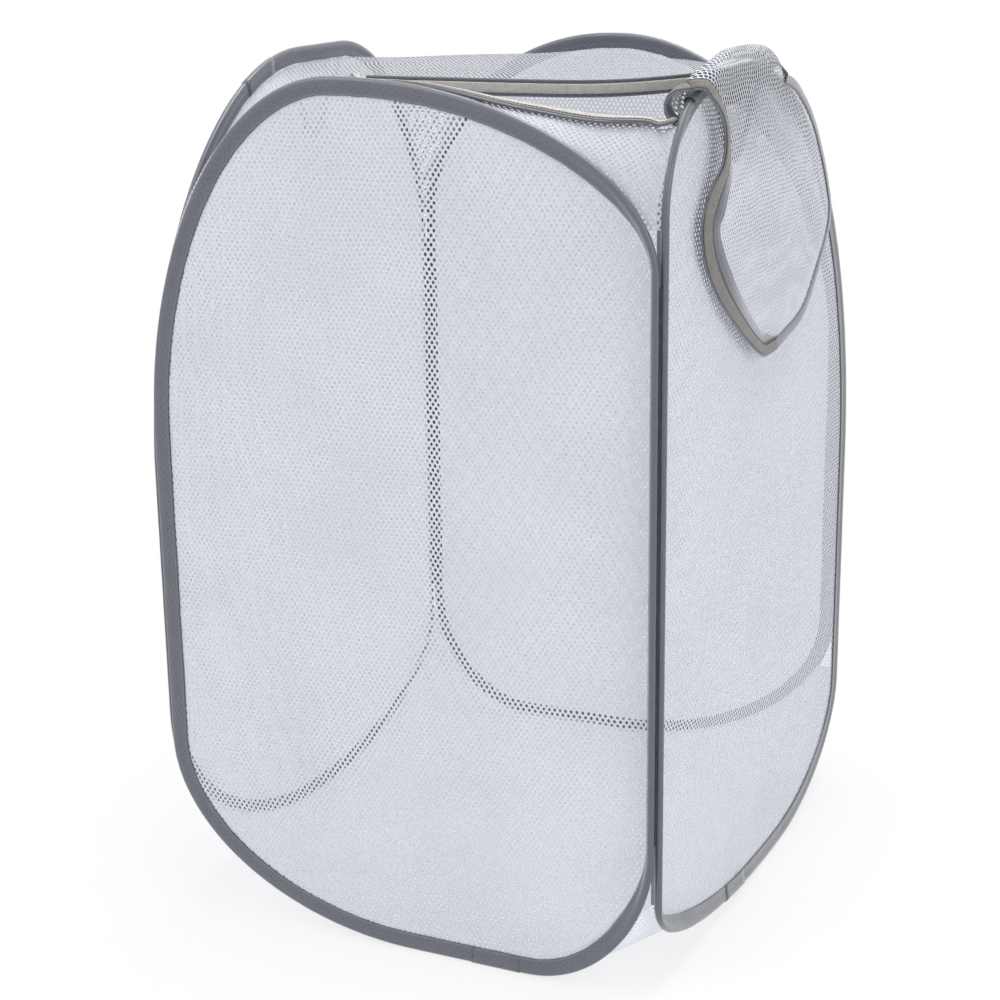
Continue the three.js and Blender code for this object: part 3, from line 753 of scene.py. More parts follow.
def holes_of(paint, across, along):
    """Oval holes in staggered columns: 0 in a hole's middle, 1 at its rim, more on the threads."""

    def lattice(shift):
        p = ((across / MESH_PITCH[0] + shift).fraction() - 0.5) * (MESH_PITCH[0] / MESH_HOLE[0])
        q = ((along / MESH_PITCH[1] + shift).fraction() - 0.5) * (MESH_PITCH[1] / MESH_HOLE[1])
        return (p * p + q * q).root()

    return lattice(0.0).least(lattice(0.5))


def mesh_cloth_material(name, tint, level_from=None, fuzz=0.0, glow=0.0):
    """White knitted mesh: oval holes in staggered columns, threads a little raised between them.

    Above the height level_from the cloth comes to lie level, and painted shade darkens its threads' sides
    round each hole. Fuzz is how much of a hole its loose fibres fill, and glow is painted light that stands
    in for the light its threads pass on.
    """
    paint = Paint(name, roughness=0.75, sheen=0.1, specular=0.25)
    across, along = paint.cloth_axes()
    nearest = holes_of(paint, across + paint.wander(23.0), along + paint.wander(31.0))
    paint.set("Alpha", nearest.ramp(*HOLE_RAMP, fuzz, 1.0))
    paint.set("Emission Color", opaque(tint))
    # Painted light: the mesh glows in its own colour, standing in for light that its threads pass on
    paint.set("Emission Strength", glow)
    cloudy = paint.speckle(14.0).ramp(0.35, 0.7)
    cloth = paint.blend(cloudy, opaque(tint), opaque(tint, 0.94))
    # Painted shade: where the cloth lies level, the threads' sides round each hole are painted dark
    if level_from is not None:
        level = paint.height().ramp(level_from, LEVEL_TO)
        sides = nearest.ramp(*THREAD_SIDES, 1.0, 0.0) * level
        cloth = paint.blend(sides, cloth, opaque(tint, THREAD_SIDE_PAINTED_SHADE))
    paint.set("Base Color", cloth)
    paint.bump(nearest.ramp(*THREAD_CRESTS), MESH_BUMP, 0.5)
    return paint.material


def binding_material(name, colour, girth, rim=0.0, seam=0.0):
    """Grey folded binding: the mesh's holes print through, and a groove and a ridge run along its inner edge.

    Painted shade darkens the groove and the side towards the outer fold, and a painted highlight
    lightens the ridge. A rim width darkens and ribs its fold, and a seam length adds a stitched line near
    each of its ends.
    """
    paint = Paint(name, roughness=0.4, sheen=0.35, specular=0.7)
    across, along = paint.cloth_axes()
    grain = paint.speckle(700.0, 2.0)
    patchy = paint.speckle(38.0).ramp(0.3, 0.75)
    edge = across.least(girth - across)
    groove_with_shade = edge.ramp(*BINDING_GROOVE, 1.0, 0.0)
    ridge_with_highlight = edge.line_at(*BINDING_RIDGE)
    print_through = holes_of(paint, across, along).ramp(*PRINT_RAMP, 1.0, 0.0) * edge.ramp(*PRINT_STARTS)
    print_through = print_through * edge.ramp(*PRINT_ENDS, 1.0, 0.0)
    dark = opaque(colour, 0.35)
    # Painted highlight: the ridge is painted lighter; the patches are the cloth's own uneven tone
    cloth = paint.blend(patchy * 0.25 + ridge_with_highlight * 0.75, opaque(colour), opaque(colour, 1.6))
    cloth = paint.blend(grain.ramp(0.38, 0.62, 0.22, 0.0) + print_through * 0.38, cloth, dark)
    height = grain * 0.3 - groove_with_shade * 1.2 + ridge_with_highlight * 0.8 - print_through * 0.6
    # Painted shade: dark in the groove along the inner edge and towards the outer fold
    shade = (groove_with_shade * 0.85).most(edge.ramp(girth * 0.36, girth * 0.48, 0.0, 0.3))
    if rim:
        fold = across.line_at(girth / 2, rim * 0.8, rim * 1.1)
        ribs = (along / RIB_SPACING).fraction().ramp(0.3, 0.6)
        shade = shade.most(fold * (ribs * 0.35 + 0.55))
        height = height + fold * ribs * 0.8
    if seam:
        line = along.least(seam - along).line_at(*LAP_STITCHES)
        shade = shade.most(line * 0.85)
        height = height - line
    paint.set("Base Color", paint.blend(shade, cloth, dark))
    paint.set("Roughness", patchy.ramp(0.0, 1.0, 0.4, 0.55))
    paint.set("Coat Weight", 0.7)
    paint.set("Coat Roughness", 0.3)
    paint.bump(height, BINDING_BUMP, 0.6)
    return paint.material


def tape_material(name, colour, girth):
    """Taupe hook or loop tape: a fuzzy pile with ribs across it and dark stitches along its inner edge."""
    paint = Paint(name, roughness=0.9, sheen=0.3, specular=0.2)
    across, along = paint.cloth_axes()
    pile = paint.speckle(1500.0, 4.0)
    clumps = paint.speckle(220.0, 2.0)
    ribs = (along / TAPE_RIB_SPACING).fraction().ramp(0.2, 0.6)
    nap = (pile * 0.5 + clumps * 0.3 + ribs * 0.2).ramp(0.3, 0.6)
    fuzzy = paint.blend(nap, opaque(colour, 0.55), opaque(colour))
    line = across.least(girth - across).line_at(*TAPE_STITCHES)
    dash = (along / STITCH_SPACING).fraction().ramp(0.2, 0.35, 0.55, 1.0)
    paint.set("Base Color", paint.blend(line * dash * 0.9, fuzzy, (0.035, 0.033, 0.032, 1)))
    paint.bump(pile + ribs * 0.4 + clumps - line * 1.5, TAPE_BUMP, 0.7)
    return paint.material


def plain_material(name, colour, roughness, metallic=0.0):
    """Thread or wire, with a little uneven shade."""
    paint = Paint(name, roughness=roughness)
    patchy = paint.speckle(300.0).ramp(0.3, 0.7)
    paint.set("Base Color", paint.blend(patchy, opaque(colour, 0.7), opaque(colour)))
    paint.shader.inputs["Metallic"].default_value = metallic
    paint.bump(patchy, PLAIN_BUMP, 0.4)
    return paint.material


def finish_named(key):
    """The named finish of this hamper, made when it is first asked for."""
    found = bpy.data.materials.get(key)
    if found:
        return found
    look = bpy.context.scene.hamper_look
    white = look.mesh_colour
    grey = look.binding_colour
    taupe = look.tape_colour
    girth = girth_measure(full_section(BAND_SECTION))(1)
    lap_girth = girth_measure(lap_section())(1)
    hook_girth = strip_girth((0, FLAP_TAPE_WIDTH))
    makers = {
        "White mesh": lambda: mesh_cloth_material(key, white),
        # The far mesh, with a little painted glow
        "Far mesh": lambda: mesh_cloth_material(key, white, fuzz=FAR_FUZZ, glow=FAR_PAINTED_GLOW),
        # The cover's mesh, with painted shade in its colour
        "Cover mesh": lambda: mesh_cloth_material(key, shaded(white, COVER_PAINTED_SHADE), COVER_LEVEL_FROM),
        "Flap mesh": lambda: mesh_cloth_material(key, white, FLAP_LEVEL_FROM),
        "Grey binding": lambda: binding_material(key, grey, girth),
        "Grey lap": lambda: binding_material(key, grey, lap_girth, seam=LAP_LENGTH),
        "Ribbed near edge": lambda: binding_material(key, grey, strip_girth(NEAR_STRIP[0]), rim=RIBBED_RIM),
        "Ribbed far edge": lambda: binding_material(key, grey, strip_girth(FAR_STRIP[0]), rim=RIBBED_RIM),
        "Grey flap edge": lambda: binding_material(key, grey, strip_girth((0, FLAP_STRIP_WIDTH))),
        "Taupe loop tape": lambda: tape_material(key, taupe, strip_girth(FAR_STRIP[1])),
        "Taupe hook tape": lambda: tape_material(key, shaded(taupe, HOOK_SHADE), hook_girth),
        "Spring wire": lambda: plain_material(key, (0.5, 0.5, 0.5), 0.3, 1.0),
        "Grey thread": lambda: plain_material(key, (0.06, 0.06, 0.07), 0.8),
    }
    return makers[key]()


def strip_girth(strip):
    """Metres round a strip of the given inset and width."""
    return girth_measure(strip_section(*strip, STRIP_THICKNESS))(1)


def drape_drop(x, y, top, reach, insets, sag):
    """Height of a sheet's edges over or under its middle, fading out within reach of each side."""
    which = "top" if top else "bottom"
    shares = {
        "front": max(0.0, 1 - (y + SHEET_HALF_Y) / reach) ** 3,
        "back": max(0.0, 1 - (SHEET_HALF_Y - y) / reach) ** 3,
        "left": max(0.0, 1 - (x + SHEET_HALF_X) / reach) ** 3,
        "right": max(0.0, 1 - (SHEET_HALF_X - x) / reach) ** 3,
    }
    height = 0.0
    for side, (u, first, last) in {
        "front": (x, "left", "right"),
        "back": (x, "left", "right"),
        "left": (y, "front", "back"),
        "right": (y, "front", "back"),
    }.items():
        if shares[side]:
            cap = meeting(side, first if u < 0 else last, which)
            height += shares[side] * (min(end_drop(side, u, top), cap) + insets[side] - sag)
    for end in ("front", "back"):
        for side in ("left", "right"):
            lift = max(insets[end], insets[side]) - sag
            height -= shares[end] * shares[side] * (meeting(end, side, which) + lift)
    return height


def meeting(side, other, which):
    """How far from the level end the hoops of two neighbouring sides meet."""
    at_other = 1 if other in ("right", "back") else 0
    at_side = 1 if side in ("right", "back") else 0
    return min(HOOP_CORNERS[side][which][at_other][1], HOOP_CORNERS[other][which][at_side][1])


def floor_height(x, y):
    insets = dict.fromkeys(HOOP_CORNERS, SHEET_EDGE_INSET)
    return DRAPE_LIFT + drape_drop(x, y, False, FLOOR_REACH, insets, 0.0)


def cover_height(x, y):
    sag = COVER_MIDDLE_DROP
    return HEIGHT - sag - drape_drop(x, y, True, COVER_REACH, COVER_EDGE_INSETS, sag)


def drape_spot(u, v):
    x = SHEET_HALF_X * math.sin(math.pi * (u - 0.5))
    y = SHEET_HALF_Y * math.sin(math.pi * (v - 0.5))
    return x, y


def inside_outline(x, y, outline):
    inside = False
    for (x0, y0), (x1, y1) in zip(outline, outline[1:] + outline[:1]):
        if (y0 > y) != (y1 > y) and x < x0 + (x1 - x0) * (y - y0) / (y1 - y0):
            inside = not inside
    return inside


def in_plan(shares):
    return [(x * WIDTH / 2, y * DEPTH / 2) for x, y in shares]


def opening_outline():
    """The whole cut, run on past the cover's side so that it is open there."""
    beyond = OPENING_BEYOND_SHARE * WIDTH / 2
    near = rounded_path(in_plan(OPENING_NEAR_SHARES))
    far = rounded_path(in_plan(OPENING_FAR_SHARES))
    leaving_y, beyond_y = (share * DEPTH / 2 for share in OPENING_END_SHARES)
    return [(beyond, near[0][1])] + near + far + [(SHEET_HALF_X, leaving_y), (beyond, beyond_y)]


def make_side(side):
    """One side: its mesh panel, its binding and the binding's lap."""
    place = side_place(side)
    line = hoop_line(side)

    def turn_at(u, z):
        return leg_turn(side, u < 0, z)

    section = full_section(BAND_SECTION)
    grey = finish_named("Grey binding")
    binding = edge_band(side + "_edge", line, section, place, grey, ring=True, turn_at=turn_at)
    carry(binding, side + "_panel", side + "_binding")
    panel = make_panel(side, line, place)
    lap = make_lap(side, line, place, turn_at)
    2 * HALF_LENGTH[side]


def make_panel(side, line, place):
    """The mesh sheet of one side, filled from its rim, cut into even cells and rippled a little."""
    builder = bmesh.new()
    rim = [
        builder.verts.new((a + side_a * PANEL_INSET, b + side_b * PANEL_INSET, 0))
        for a, b, side_a, side_b in line
    ]
    builder.faces.new(rim)
    cut_into_cells(builder, HALF_LENGTH[side])
    layer = builder.loops.layers.uv.new("cloth")
    for face in builder.faces:
        for loop in face.loops:
            loop[layer].uv = loop.vert.co.xy
    for vert in builder.verts:
        u, z = vert.co.x, vert.co.y
        spot = Vector((u * PANEL_RIPPLE_RATES[0], z * PANEL_RIPPLE_RATES[1], PANEL_RIPPLE_SEEDS[side]))
        ripple = PANEL_RIPPLE * noise.noise(spot) * panel_slack(side, u, z)
        vert.co = place(u, z, ripple + panel_turn(side, u, z))
    outwards = place(0, HEIGHT / 2, 1) - place(0, HEIGHT / 2, 0)
    builder.normal_update()
    if sum(face.normal.dot(outwards) for face in builder.faces) < 0:
        bmesh.ops.reverse_faces(builder, faces=builder.faces)
    finish = finish_named("Far mesh" if side in ("back", "left") else "White mesh")
    panel = new_object(side + "_mesh_sheet", builder, finish)
    carry(panel, side + "_panel", side + "_mesh_panel")
    return panel


def cut_into_cells(builder, half):
    """Cuts a flat sheet along even lines both ways, so that it can ripple."""
    for axis, low, high in ((0, -half, half), (1, 0.0, HEIGHT)):
        cuts = round((high - low) / PANEL_CELL)
        for i in range(1, cuts):
            spot = Vector((0, 0, 0))
            spot[axis] = lerp(low, high, i / cuts)
            normal = Vector((0, 0, 0))
            normal[axis] = 1
            everything = builder.verts[:] + builder.edges[:] + builder.faces[:]
            bmesh.ops.bisect_plane(builder, geom=everything, plane_co=spot, plane_no=normal, dist=1e-6)


def panel_slack(side, u, z):
    """How freely the sheet may ripple: 0 at its rim, 1 in its middle."""
    half = HALF_LENGTH[side]
    from_side = half - abs(u)
    from_end = min(z, HEIGHT - z)
    return smooth(from_side / PANEL_FADES[0]) * smooth(from_end / PANEL_FADES[1])


def lap_section():
    """The binding's section, a little thicker."""
    section = []
    for inset, height in full_section(BAND_SECTION):
        proud = LAP_PROUD if inset < TUBE_RADIUS else 0.0
        section.append((min(inset, LAP_REACH) - proud, height + math.copysign(LAP_THICKER, height)))
    return section


def make_lap(side, line, place, turn_at):
    """The second layer where the two ends of one binding meet."""
    share, top = LAPS[side]
    middle = share * 2 * HALF_LENGTH[side]
    part = [p for p in line if abs(p[0] - middle) <= LAP_LENGTH / 2 and (p[1] > HEIGHT / 2) == top]
    part = evenly([(a, b) for a, b, _, _ in part], False)
    lap = edge_band(side + "_lap", part, lap_section(), place, finish_named("Grey lap"), turn_at=turn_at)
    carry(lap, side + "_panel", side + "_binding_lap")
    return lap


def make_drape(name, node, height_at, hole, finish):
    """The floor or the cover, as one sheet over the whole plan."""

    def put(u, v):
        x, y = drape_spot(u, v)
        spot = Vector((x * DRAPE_RIPPLE_RATE, y * DRAPE_RIPPLE_RATE, DRAPE_RIPPLE_SEED))
        ripple = DRAPE_RIPPLE * noise.noise(spot)
        slack = smooth((SHEET_HALF_X - abs(x)) / DRAPE_FADE) * smooth((SHEET_HALF_Y - abs(y)) / DRAPE_FADE)
        return Vector((x, y, max(height_at(x, y) + ripple * slack, DRAPE_LIFT)))

    size = (2 * SHEET_HALF_X, 2 * SHEET_HALF_Y)
    piece = grid_piece(name, DRAPE_CELLS, DRAPE_CELLS, put, size, finish_named(finish))
    flatten_pattern(piece)
    if hole:
        cut_opening(piece, hole)
    carry(piece, "front_panel", node)
    return piece


def flatten_pattern(piece):
    """The pattern follows the plan and the sheet's rise or fall, so that its holes keep their size."""
    layer = piece.data.uv_layers["cloth"]
    level = piece.data.vertices[len(piece.data.vertices) // 2].co.z
    for loop in piece.data.loops:
        place = piece.data.vertices[loop.vertex_index].co
        side = max(-1.0, min(place.y / PATTERN_TURN, 1.0))
        layer.data[loop.index].uv = (place.x, place.y + side * abs(place.z - level))


def cut_opening(piece, outline):
    """Takes the cells inside the outline out, and draws the cut's edge on to the outline."""
    builder = bmesh.new()
    builder.from_mesh(piece.data)
    gone = [face for face in builder.faces if inside_outline(*face.calc_center_median().xy, outline)]
    kept_rim = {vert for vert in builder.verts if vert.is_boundary}
    bmesh.ops.delete(builder, geom=gone, context="FACES")
    path = evenly(outline, False)
    for vert in builder.verts:
        if vert.is_boundary and vert not in kept_rim:
            nearest = min(path, key=lambda p: (p[0] - vert.co.x) ** 2 + (p[1] - vert.co.y) ** 2)
            vert.co.x, vert.co.y = nearest[0], nearest[1]
    builder.to_mesh(piece.data)
    builder.free()


def fold_away(piece):
    """Gives the piece a mesh of its own."""
    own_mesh(piece)


def make_opening_edges():
    """Binding and loop tape along both edges of the opening in the cover."""
    pieces = []
    for edge, shares, strips, face in (
        ("near", OPENING_NEAR_SHARES, NEAR_STRIP, 1),
        ("far", OPENING_FAR_SHARES, FAR_STRIP, -1),
    ):
        path = cover_edge_path(shares, edge == "far")
        tape_lift = face * (STRIP_THICKNESS + TAPE_THICKNESS) / 2
        ribbed = finish_named("Ribbed %s edge" % edge)
        taupe = finish_named("Taupe loop tape")
        for kind, (start, width), thickness, lift, finish in (
            ("binding", strips[0], STRIP_THICKNESS, 0.0, ribbed),
            ("tape", strips[1], TAPE_THICKNESS, tape_lift, taupe),
        ):
            name = "%s_edge_%s" % (edge, kind)
            piece = strip_piece(name, path, start, tapered(width, edge), thickness, lift, finish)
            slot_name = "hook_tape" if kind == "tape" else "binding_cloth"
            carry(piece, "front_panel", "opening_%s_%s" % (edge, kind))
            pieces.append(piece)
    return pieces


def tapered(width, edge):
    """A strip's width along it: the near edge's narrows where it meets the right hoop."""
    if edge == "far":
        return lambda v: width
    return lambda v: width * lerp(NEAR_STRIP_START_SHARE, 1.0, smooth(v / NEAR_STRIP_TAPER_SHARE))


def cover_edge_path(shares, standing):
    """Rim points of an edge of the opening, each with a point further into its strip.

    A standing strip hangs down from the rim, and the other lies on the cover.
    """
    path = []
    lift = STRIP_THICKNESS + DRAPE_LIFT
    for a, b, side_a, side_b in evenly(rounded_path(in_plan(shares)), False):
        rim = Vector((a, b, cover_height(a, b) + lift))
        if standing:
            inner = rim + Vector((side_a * STRIP_LEAN, side_b * STRIP_LEAN, -1)) * STRIP_REACH
        else:
            x = a + side_a * STRIP_REACH
            y = b + side_b * STRIP_REACH
            z = max(cover_height(x, y) + lift, rim.z - STRIP_SLOPE * STRIP_REACH)
            inner = Vector((x, y, z))
        path.append(tuple(rim) + tuple(inner))
    return path


def table_at(rows, place):
    """The numbers of a table at a place along it, running smoothly from row to row."""
    last = len(rows) - 1
    place = min(max(place, rows[0][0]), rows[last][0])
    i = next(k for k in range(1, last + 1) if place <= rows[k][0])
    t = (place - rows[i - 1][0]) / ((rows[i][0] - rows[i - 1][0]) or 1.0)
    around = [rows[max(i - 2, 0)], rows[i - 1], rows[i], rows[min(i + 1, last)]]
    return [spline(a, b, c, d, t) for a, b, c, d in zip(*(row[1:] for row in around))]


def fold_point(y, turn):
    """A point of the roll over the hoop, turn being 0 on its outer side and a quarter turn on its crest."""
    drop, inward, radius = table_at(FLAP_FOLD_SHARES, (y - FLAP_NEAR_Y) / FLAP_LENGTH)
    x = FLAP_HINGE_X + (radius * math.cos(turn) - inward) * FLAP_ROLL
    z = FLAP_HINGE_Z - drop * FLAP_DROP + radius * FLAP_ROLL * math.sin(turn)
    return Vector((x, y, z))


def flap_edge(shares):
    """Edge points of the hanging face, as y, z and x."""
    edge = []
    for along, down, stand in shares:
        y = FLAP_NEAR_Y + along * FLAP_LENGTH
        z = FLAP_HINGE_Z - down * FLAP_DROP
        edge.append((y, z, FLAP_HINGE_X + stand * FLAP_STAND))
    return edge


class FlapFace:
    """The flap's hanging face, whose level runs from 0 under the roll to 1 at the tip."""

    def __init__(self):
        self.near = rounded_path(flap_edge(FLAP_NEAR_SHARES))
        self.far = rounded_path(flap_edge(FLAP_FAR_SHARES))
        self.low = min(point[1] for point in self.near)
        self.near_rows = sorted((self.level(y, z), y, x) for y, z, x in self.near)
        self.far_rows = sorted((self.level(y, z), y, x) for y, z, x in self.far)

    def under_roll(self, y):
        """Where the face starts below the roll."""
        return fold_point(min(max(y, self.near[0][0]), self.far[-1][0]), 0)

    def top(self, y):
        return self.under_roll(y).z

    def level(self, y, z):
        """How far down the face a point lies."""
        top = self.top(y)
        return (top - z) / (top - self.low)

    def edges(self, level):
        """The y and x of the near edge, and of the far edge, at a level."""
        return self.row(self.near_rows, level), self.row(self.far_rows, level)

    def row(self, rows, level):
        """The y and x of one edge at a level."""
        for (low, y0, x0), (high, y1, x1) in zip(rows, rows[1:]):
            if level <= high:
                share = min(max((level - low) / ((high - low) or 1.0), 0.0), 1.0)
                return lerp(y0, y1, share), lerp(x0, x1, share)
        return rows[-1][1:]

    def point(self, y, level):
        """The face in space: its edges keep their own stand, and it hangs free between them."""
        (near_y, near_x), (far_y, far_x) = self.edges(level)
        share = min(max((y - near_y) / max(far_y - near_y, MM), 0.0), 1.0)
        swell = FLAP_SWELL_SHARE * math.sin(2 * math.pi * (level - 0.25))
        stand = FLAP_STAND * (FLAP_STAND_SHARE + swell)
        spot = Vector((y * FLAP_RIPPLE_RATES[0], level * FLAP_RIPPLE_RATES[1], FLAP_RIPPLE_SEED))
        ripple = FLAP_RIPPLE * noise.noise(spot)
        free = smooth((y - near_y) / FLAP_FREE_FROM[0]) * smooth((far_y - y) / FLAP_FREE_FROM[1])
        x = lerp(lerp(near_x, far_x, share), FLAP_HINGE_X + stand + ripple, free)
        top = self.under_roll(y)
        x = lerp(top.x, x, smooth(level / FLAP_UNDER_ROLL_SHARE))
        return Vector((x, y, lerp(top.z, self.low, level)))


def roll_near_y(turn):
    """Where the roll's near end lies: it opens outwards from the ring."""
    return FLAP_NEAR_Y + RING_OPENING * smooth(1 - turn / math.radians(RING_OPENING_TURN))


def flap_rim(face):
    """The flap's rim from inside the ring to the roll's far end, with points further into the cloth."""
    rim = []
    for i in range(RING_STEPS, 0, -1):
        turn = math.radians(RING_TURN) * i / RING_STEPS
        y = roll_near_y(turn)
        rim.append(tuple(fold_point(y, turn)) + tuple(fold_point(y + FLAP_REACH, turn)))
    for y, z, side_y, side_z in evenly([point[:2] for point in face.near + face.far[1:]], False):
        inner_y = y + side_y * FLAP_REACH
        inner_z = z + side_z * FLAP_REACH
        edge = face.point(y, face.level(y, z))
        rim.append(tuple(edge) + tuple(face.point(inner_y, face.level(inner_y, inner_z))))
    far_y = face.far[-1][0]
    for i in range(1, FOLD_STEPS + 1):
        turn = math.radians(FOLD_TURN) * i / FOLD_STEPS
        rim.append(tuple(fold_point(far_y, turn)) + tuple(fold_point(far_y - FLAP_REACH, turn)))
    return resampled(rim, False, 3)


def make_flap_cloth(face):
    """The tongue of mesh: its first rows roll over the hoop, and the others hang."""

    def put(u, v):
        if v < ROLL_SHARE:
            turn = 1 - v / ROLL_SHARE
            first_y = roll_near_y(math.radians(RING_TURN) * turn)
            y = lerp(first_y, face.far[-1][0], u)
            whole = lerp(RING_TURN, FOLD_TURN, smooth((y - FLAP_NEAR_Y) / RING_LENGTH))
            return fold_point(y, math.radians(whole) * turn)
        level = (v - ROLL_SHARE) / (1 - ROLL_SHARE)
        (near_y, _), (far_y, _) = face.edges(level)
        return face.point(lerp(near_y, far_y, u), level)

    flap = grid_piece("flap_sheet", *FLAP_CELLS, put, FLAP_FLAT, finish_named("Flap mesh"))
    # The pattern follows the place along the hoop and the height, and runs on over the roll's crest
    layer = flap.data.uv_layers["cloth"]
    for loop in flap.data.loops:
        place = flap.data.vertices[loop.vertex_index].co
        on_roll = place.z > face.top(place.y) - MM
        over = min(place.x - FLAP_HINGE_X - FLAP_ROLL, 0.0) if on_roll else 0.0
        layer.data[loop.index].uv = (place.y, place.z - over)
    return flap


def make_flap_strips(face):
    """Binding and hook tape along the flap's rim: the flap's own two, and then the ring's two."""
    rim = flap_rim(face)
    last = len(rim) - 1
    tip = min(range(len(rim)), key=lambda i: rim[i][2])
    ring = next(i for i in range(len(rim)) if rim[i][0] > RING_END_X)
    wide = next(i for i in range(ring, len(rim)) if rim[i][2] < FLAP_HINGE_Z - FLAP_WIDE_DROP)
    tape_end = tip + TAPE_PAST_TIP
    grey = finish_named("Grey flap edge")
    taupe = finish_named("Taupe hook tape")

    def widening(station):
        return smooth((station - wide) / FLAP_TAPER_STATIONS)

    def band_width(v):
        station = lerp(ring, last, v)
        near = lerp(FLAP_RING_WIDTH, FLAP_STRIP_WIDTH, widening(station))
        return lerp(near, FLAP_FAR_WIDTH, smooth((station - tip) / FLAP_TAPER_STATIONS + 0.5))

    def tape_width(v):
        return lerp(RING_TAPE_WIDTH, FLAP_TAPE_WIDTH, widening(lerp(ring, tape_end, v)))

    def band(name, part, width_at):
        return strip_piece(name, part, 0, width_at, STRIP_THICKNESS, 0, grey)

    def tape(name, part, width_at):
        lift = (STRIP_THICKNESS + TAPE_THICKNESS) / 2
        return strip_piece(name, part, FLAP_TAPE_INSET, width_at, TAPE_THICKNESS, lift, taupe)

    return (
        band("flap_edge_band", rim[ring:], band_width),
        tape("flap_edge_tape", rim[ring : tape_end + 1], tape_width),
        band("ring_band", rim[: ring + 1], lambda v: FLAP_RING_WIDTH),
        tape("ring_tape", rim[: ring + 1], lambda v: RING_TAPE_WIDTH),
    )


def make_flap():
    """The flap over the right hoop with its edges, and the ring at its near end, which stays on the hoop."""
    face = FlapFace()
    flap = make_flap_cloth(face)
    binding, tape, ring_band, ring_tape = make_flap_strips(face)
    for piece, slot_name in ((ring_band, "binding_cloth"), (ring_tape, "hook_tape")):
        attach(piece, "right_panel")
    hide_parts("flap_root_curl")
    for piece, node, slot_name in (
        (flap, "flap_mesh", "mesh_cloth"),
        (binding, "flap_binding", "binding_cloth"),
        (tape, "flap_hook_tape", "hook_tape"),
    ):
        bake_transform(piece)
        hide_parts(node)


def make_handle(side):
    """The strap loop of one carry handle."""
    sign, start_share, drop = HANDLES[side]
    start = start_share * DEPTH / 2
    points = [(start + along * HANDLE_LENGTH, HANDLE_TOP - down * drop) for along, down in HANDLE_SHARES]
    line = evenly(rounded_path(points), False)
    half = [(across * STRAP_WIDTH / 2, tall * STRAP_THICKNESS / 2) for across, tall in STRAP_SECTION_SHARES]
    section = full_section(half, 1)
    plane = WIDTH / 2 + CLEARANCE + STRAP_THICKNESS / 2

    def put(y, z, height):
        return Vector((sign * (plane + height), y, z))

    strap = edge_band(side + "_strap", line, section, put, finish_named("Grey binding"))
    carry(strap, side + "_handle", side + "_handle")


def set_looks_of_frame():
    """Finishes for the CAD nodes that show as they are."""
    finishes = {
        "wire_hoop": "Spring wire",
        "corner_seam": "Grey thread",
        "handle_tab": "Taupe hook tape",
        "flap_root": "Grey binding",
    }
    for name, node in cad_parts.items():
        for part, finish in finishes.items():
            if part in name:
                node.data.materials.clear()
                node.data.materials.append(finish_named(finish))


def make_camera():
    """A camera at the photograph's angle, distance and roll."""
    azimuth, elevation, roll = (math.radians(value) for value in CAMERA_ANGLES)
    out = math.cos(elevation)
    back = Vector((math.sin(azimuth) * out, -math.cos(azimuth) * out, math.sin(elevation)))
    right = (-back).cross(Vector((0, 0, 1))).normalized()
    up = right.cross(-back).normalized()
    target = Vector(CAMERA_AIM) - right * CAMERA_AIM_LEFT - up * CAMERA_AIM_DOWN
    turned_right = right * math.cos(roll) + up * math.sin(roll)
    turned_up = up * math.cos(roll) - right * math.sin(roll)
    data = bpy.data.cameras.new("Camera")
    data.lens = CAMERA_LENS
    data.sensor_width = 36
    camera = bpy.data.objects.new("Camera", data)
    rotation = Matrix((turned_right, turned_up, back)).transposed()
    camera.matrix_world = Matrix.Translation(target + back * CAMERA_DISTANCE) @ rotation.to_4x4()
    bpy.context.scene.collection.objects.link(camera)
    bpy.context.scene.camera = camera


def make_lamp(name, place, size, power):
    """A square area lamp that aims at the hamper's middle."""
    data = bpy.data.lights.new(name, "AREA")
    data.shape = "SQUARE"
    data.size = size
    data.energy = power
    lamp = bpy.data.objects.new(name, data)
    lamp.location = place
    lamp.rotation_euler = (Vector(place) - Vector(LAMP_AIM)).to_track_quat("Z", "Y").to_euler()
    bpy.context.scene.collection.objects.link(lamp)


def studio_floor_material():
    """Pale floor that shows white to the camera and keeps the shadow near the hamper."""
    paint = Paint("Studio floor", roughness=0.9)
    paint.shader.inputs["Base Color"].default_value = (0.9, 0.9, 0.9, 1)
    glow = paint.nodes.new("ShaderNodeEmission")
    glow.inputs["Color"].default_value = (1, 1, 1, 1)
    seen = paint.nodes.new("ShaderNodeLightPath")
    mix = paint.nodes.new("ShaderNodeMixShader")
    camera_ray = Signal(paint, seen.outputs["Is Camera Ray"])
    glossy_ray = Signal(paint, seen.outputs["Is Glossy Ray"])
    transmitted = Signal(paint, seen.outputs["Is Transmission Ray"])
    place = paint.node("ShaderNodeTexCoord", output=3)
    distance = paint.node("ShaderNodeVectorMath", place, operation="LENGTH", output=1)
    white_share = distance.ramp(*SHADOW_FADE, NEAR_WHITE_SHARE, 1.0)
    paint.feed(mix.inputs[0], camera_ray.most(glossy_ray).most(transmitted) * white_share)
    paint.links.new(paint.shader.outputs[0], mix.inputs[1])
    paint.links.new(glow.outputs[0], mix.inputs[2])
    output = paint.nodes["Material Output"]
    paint.links.new(mix.outputs[0], output.inputs["Surface"])
    return paint.material


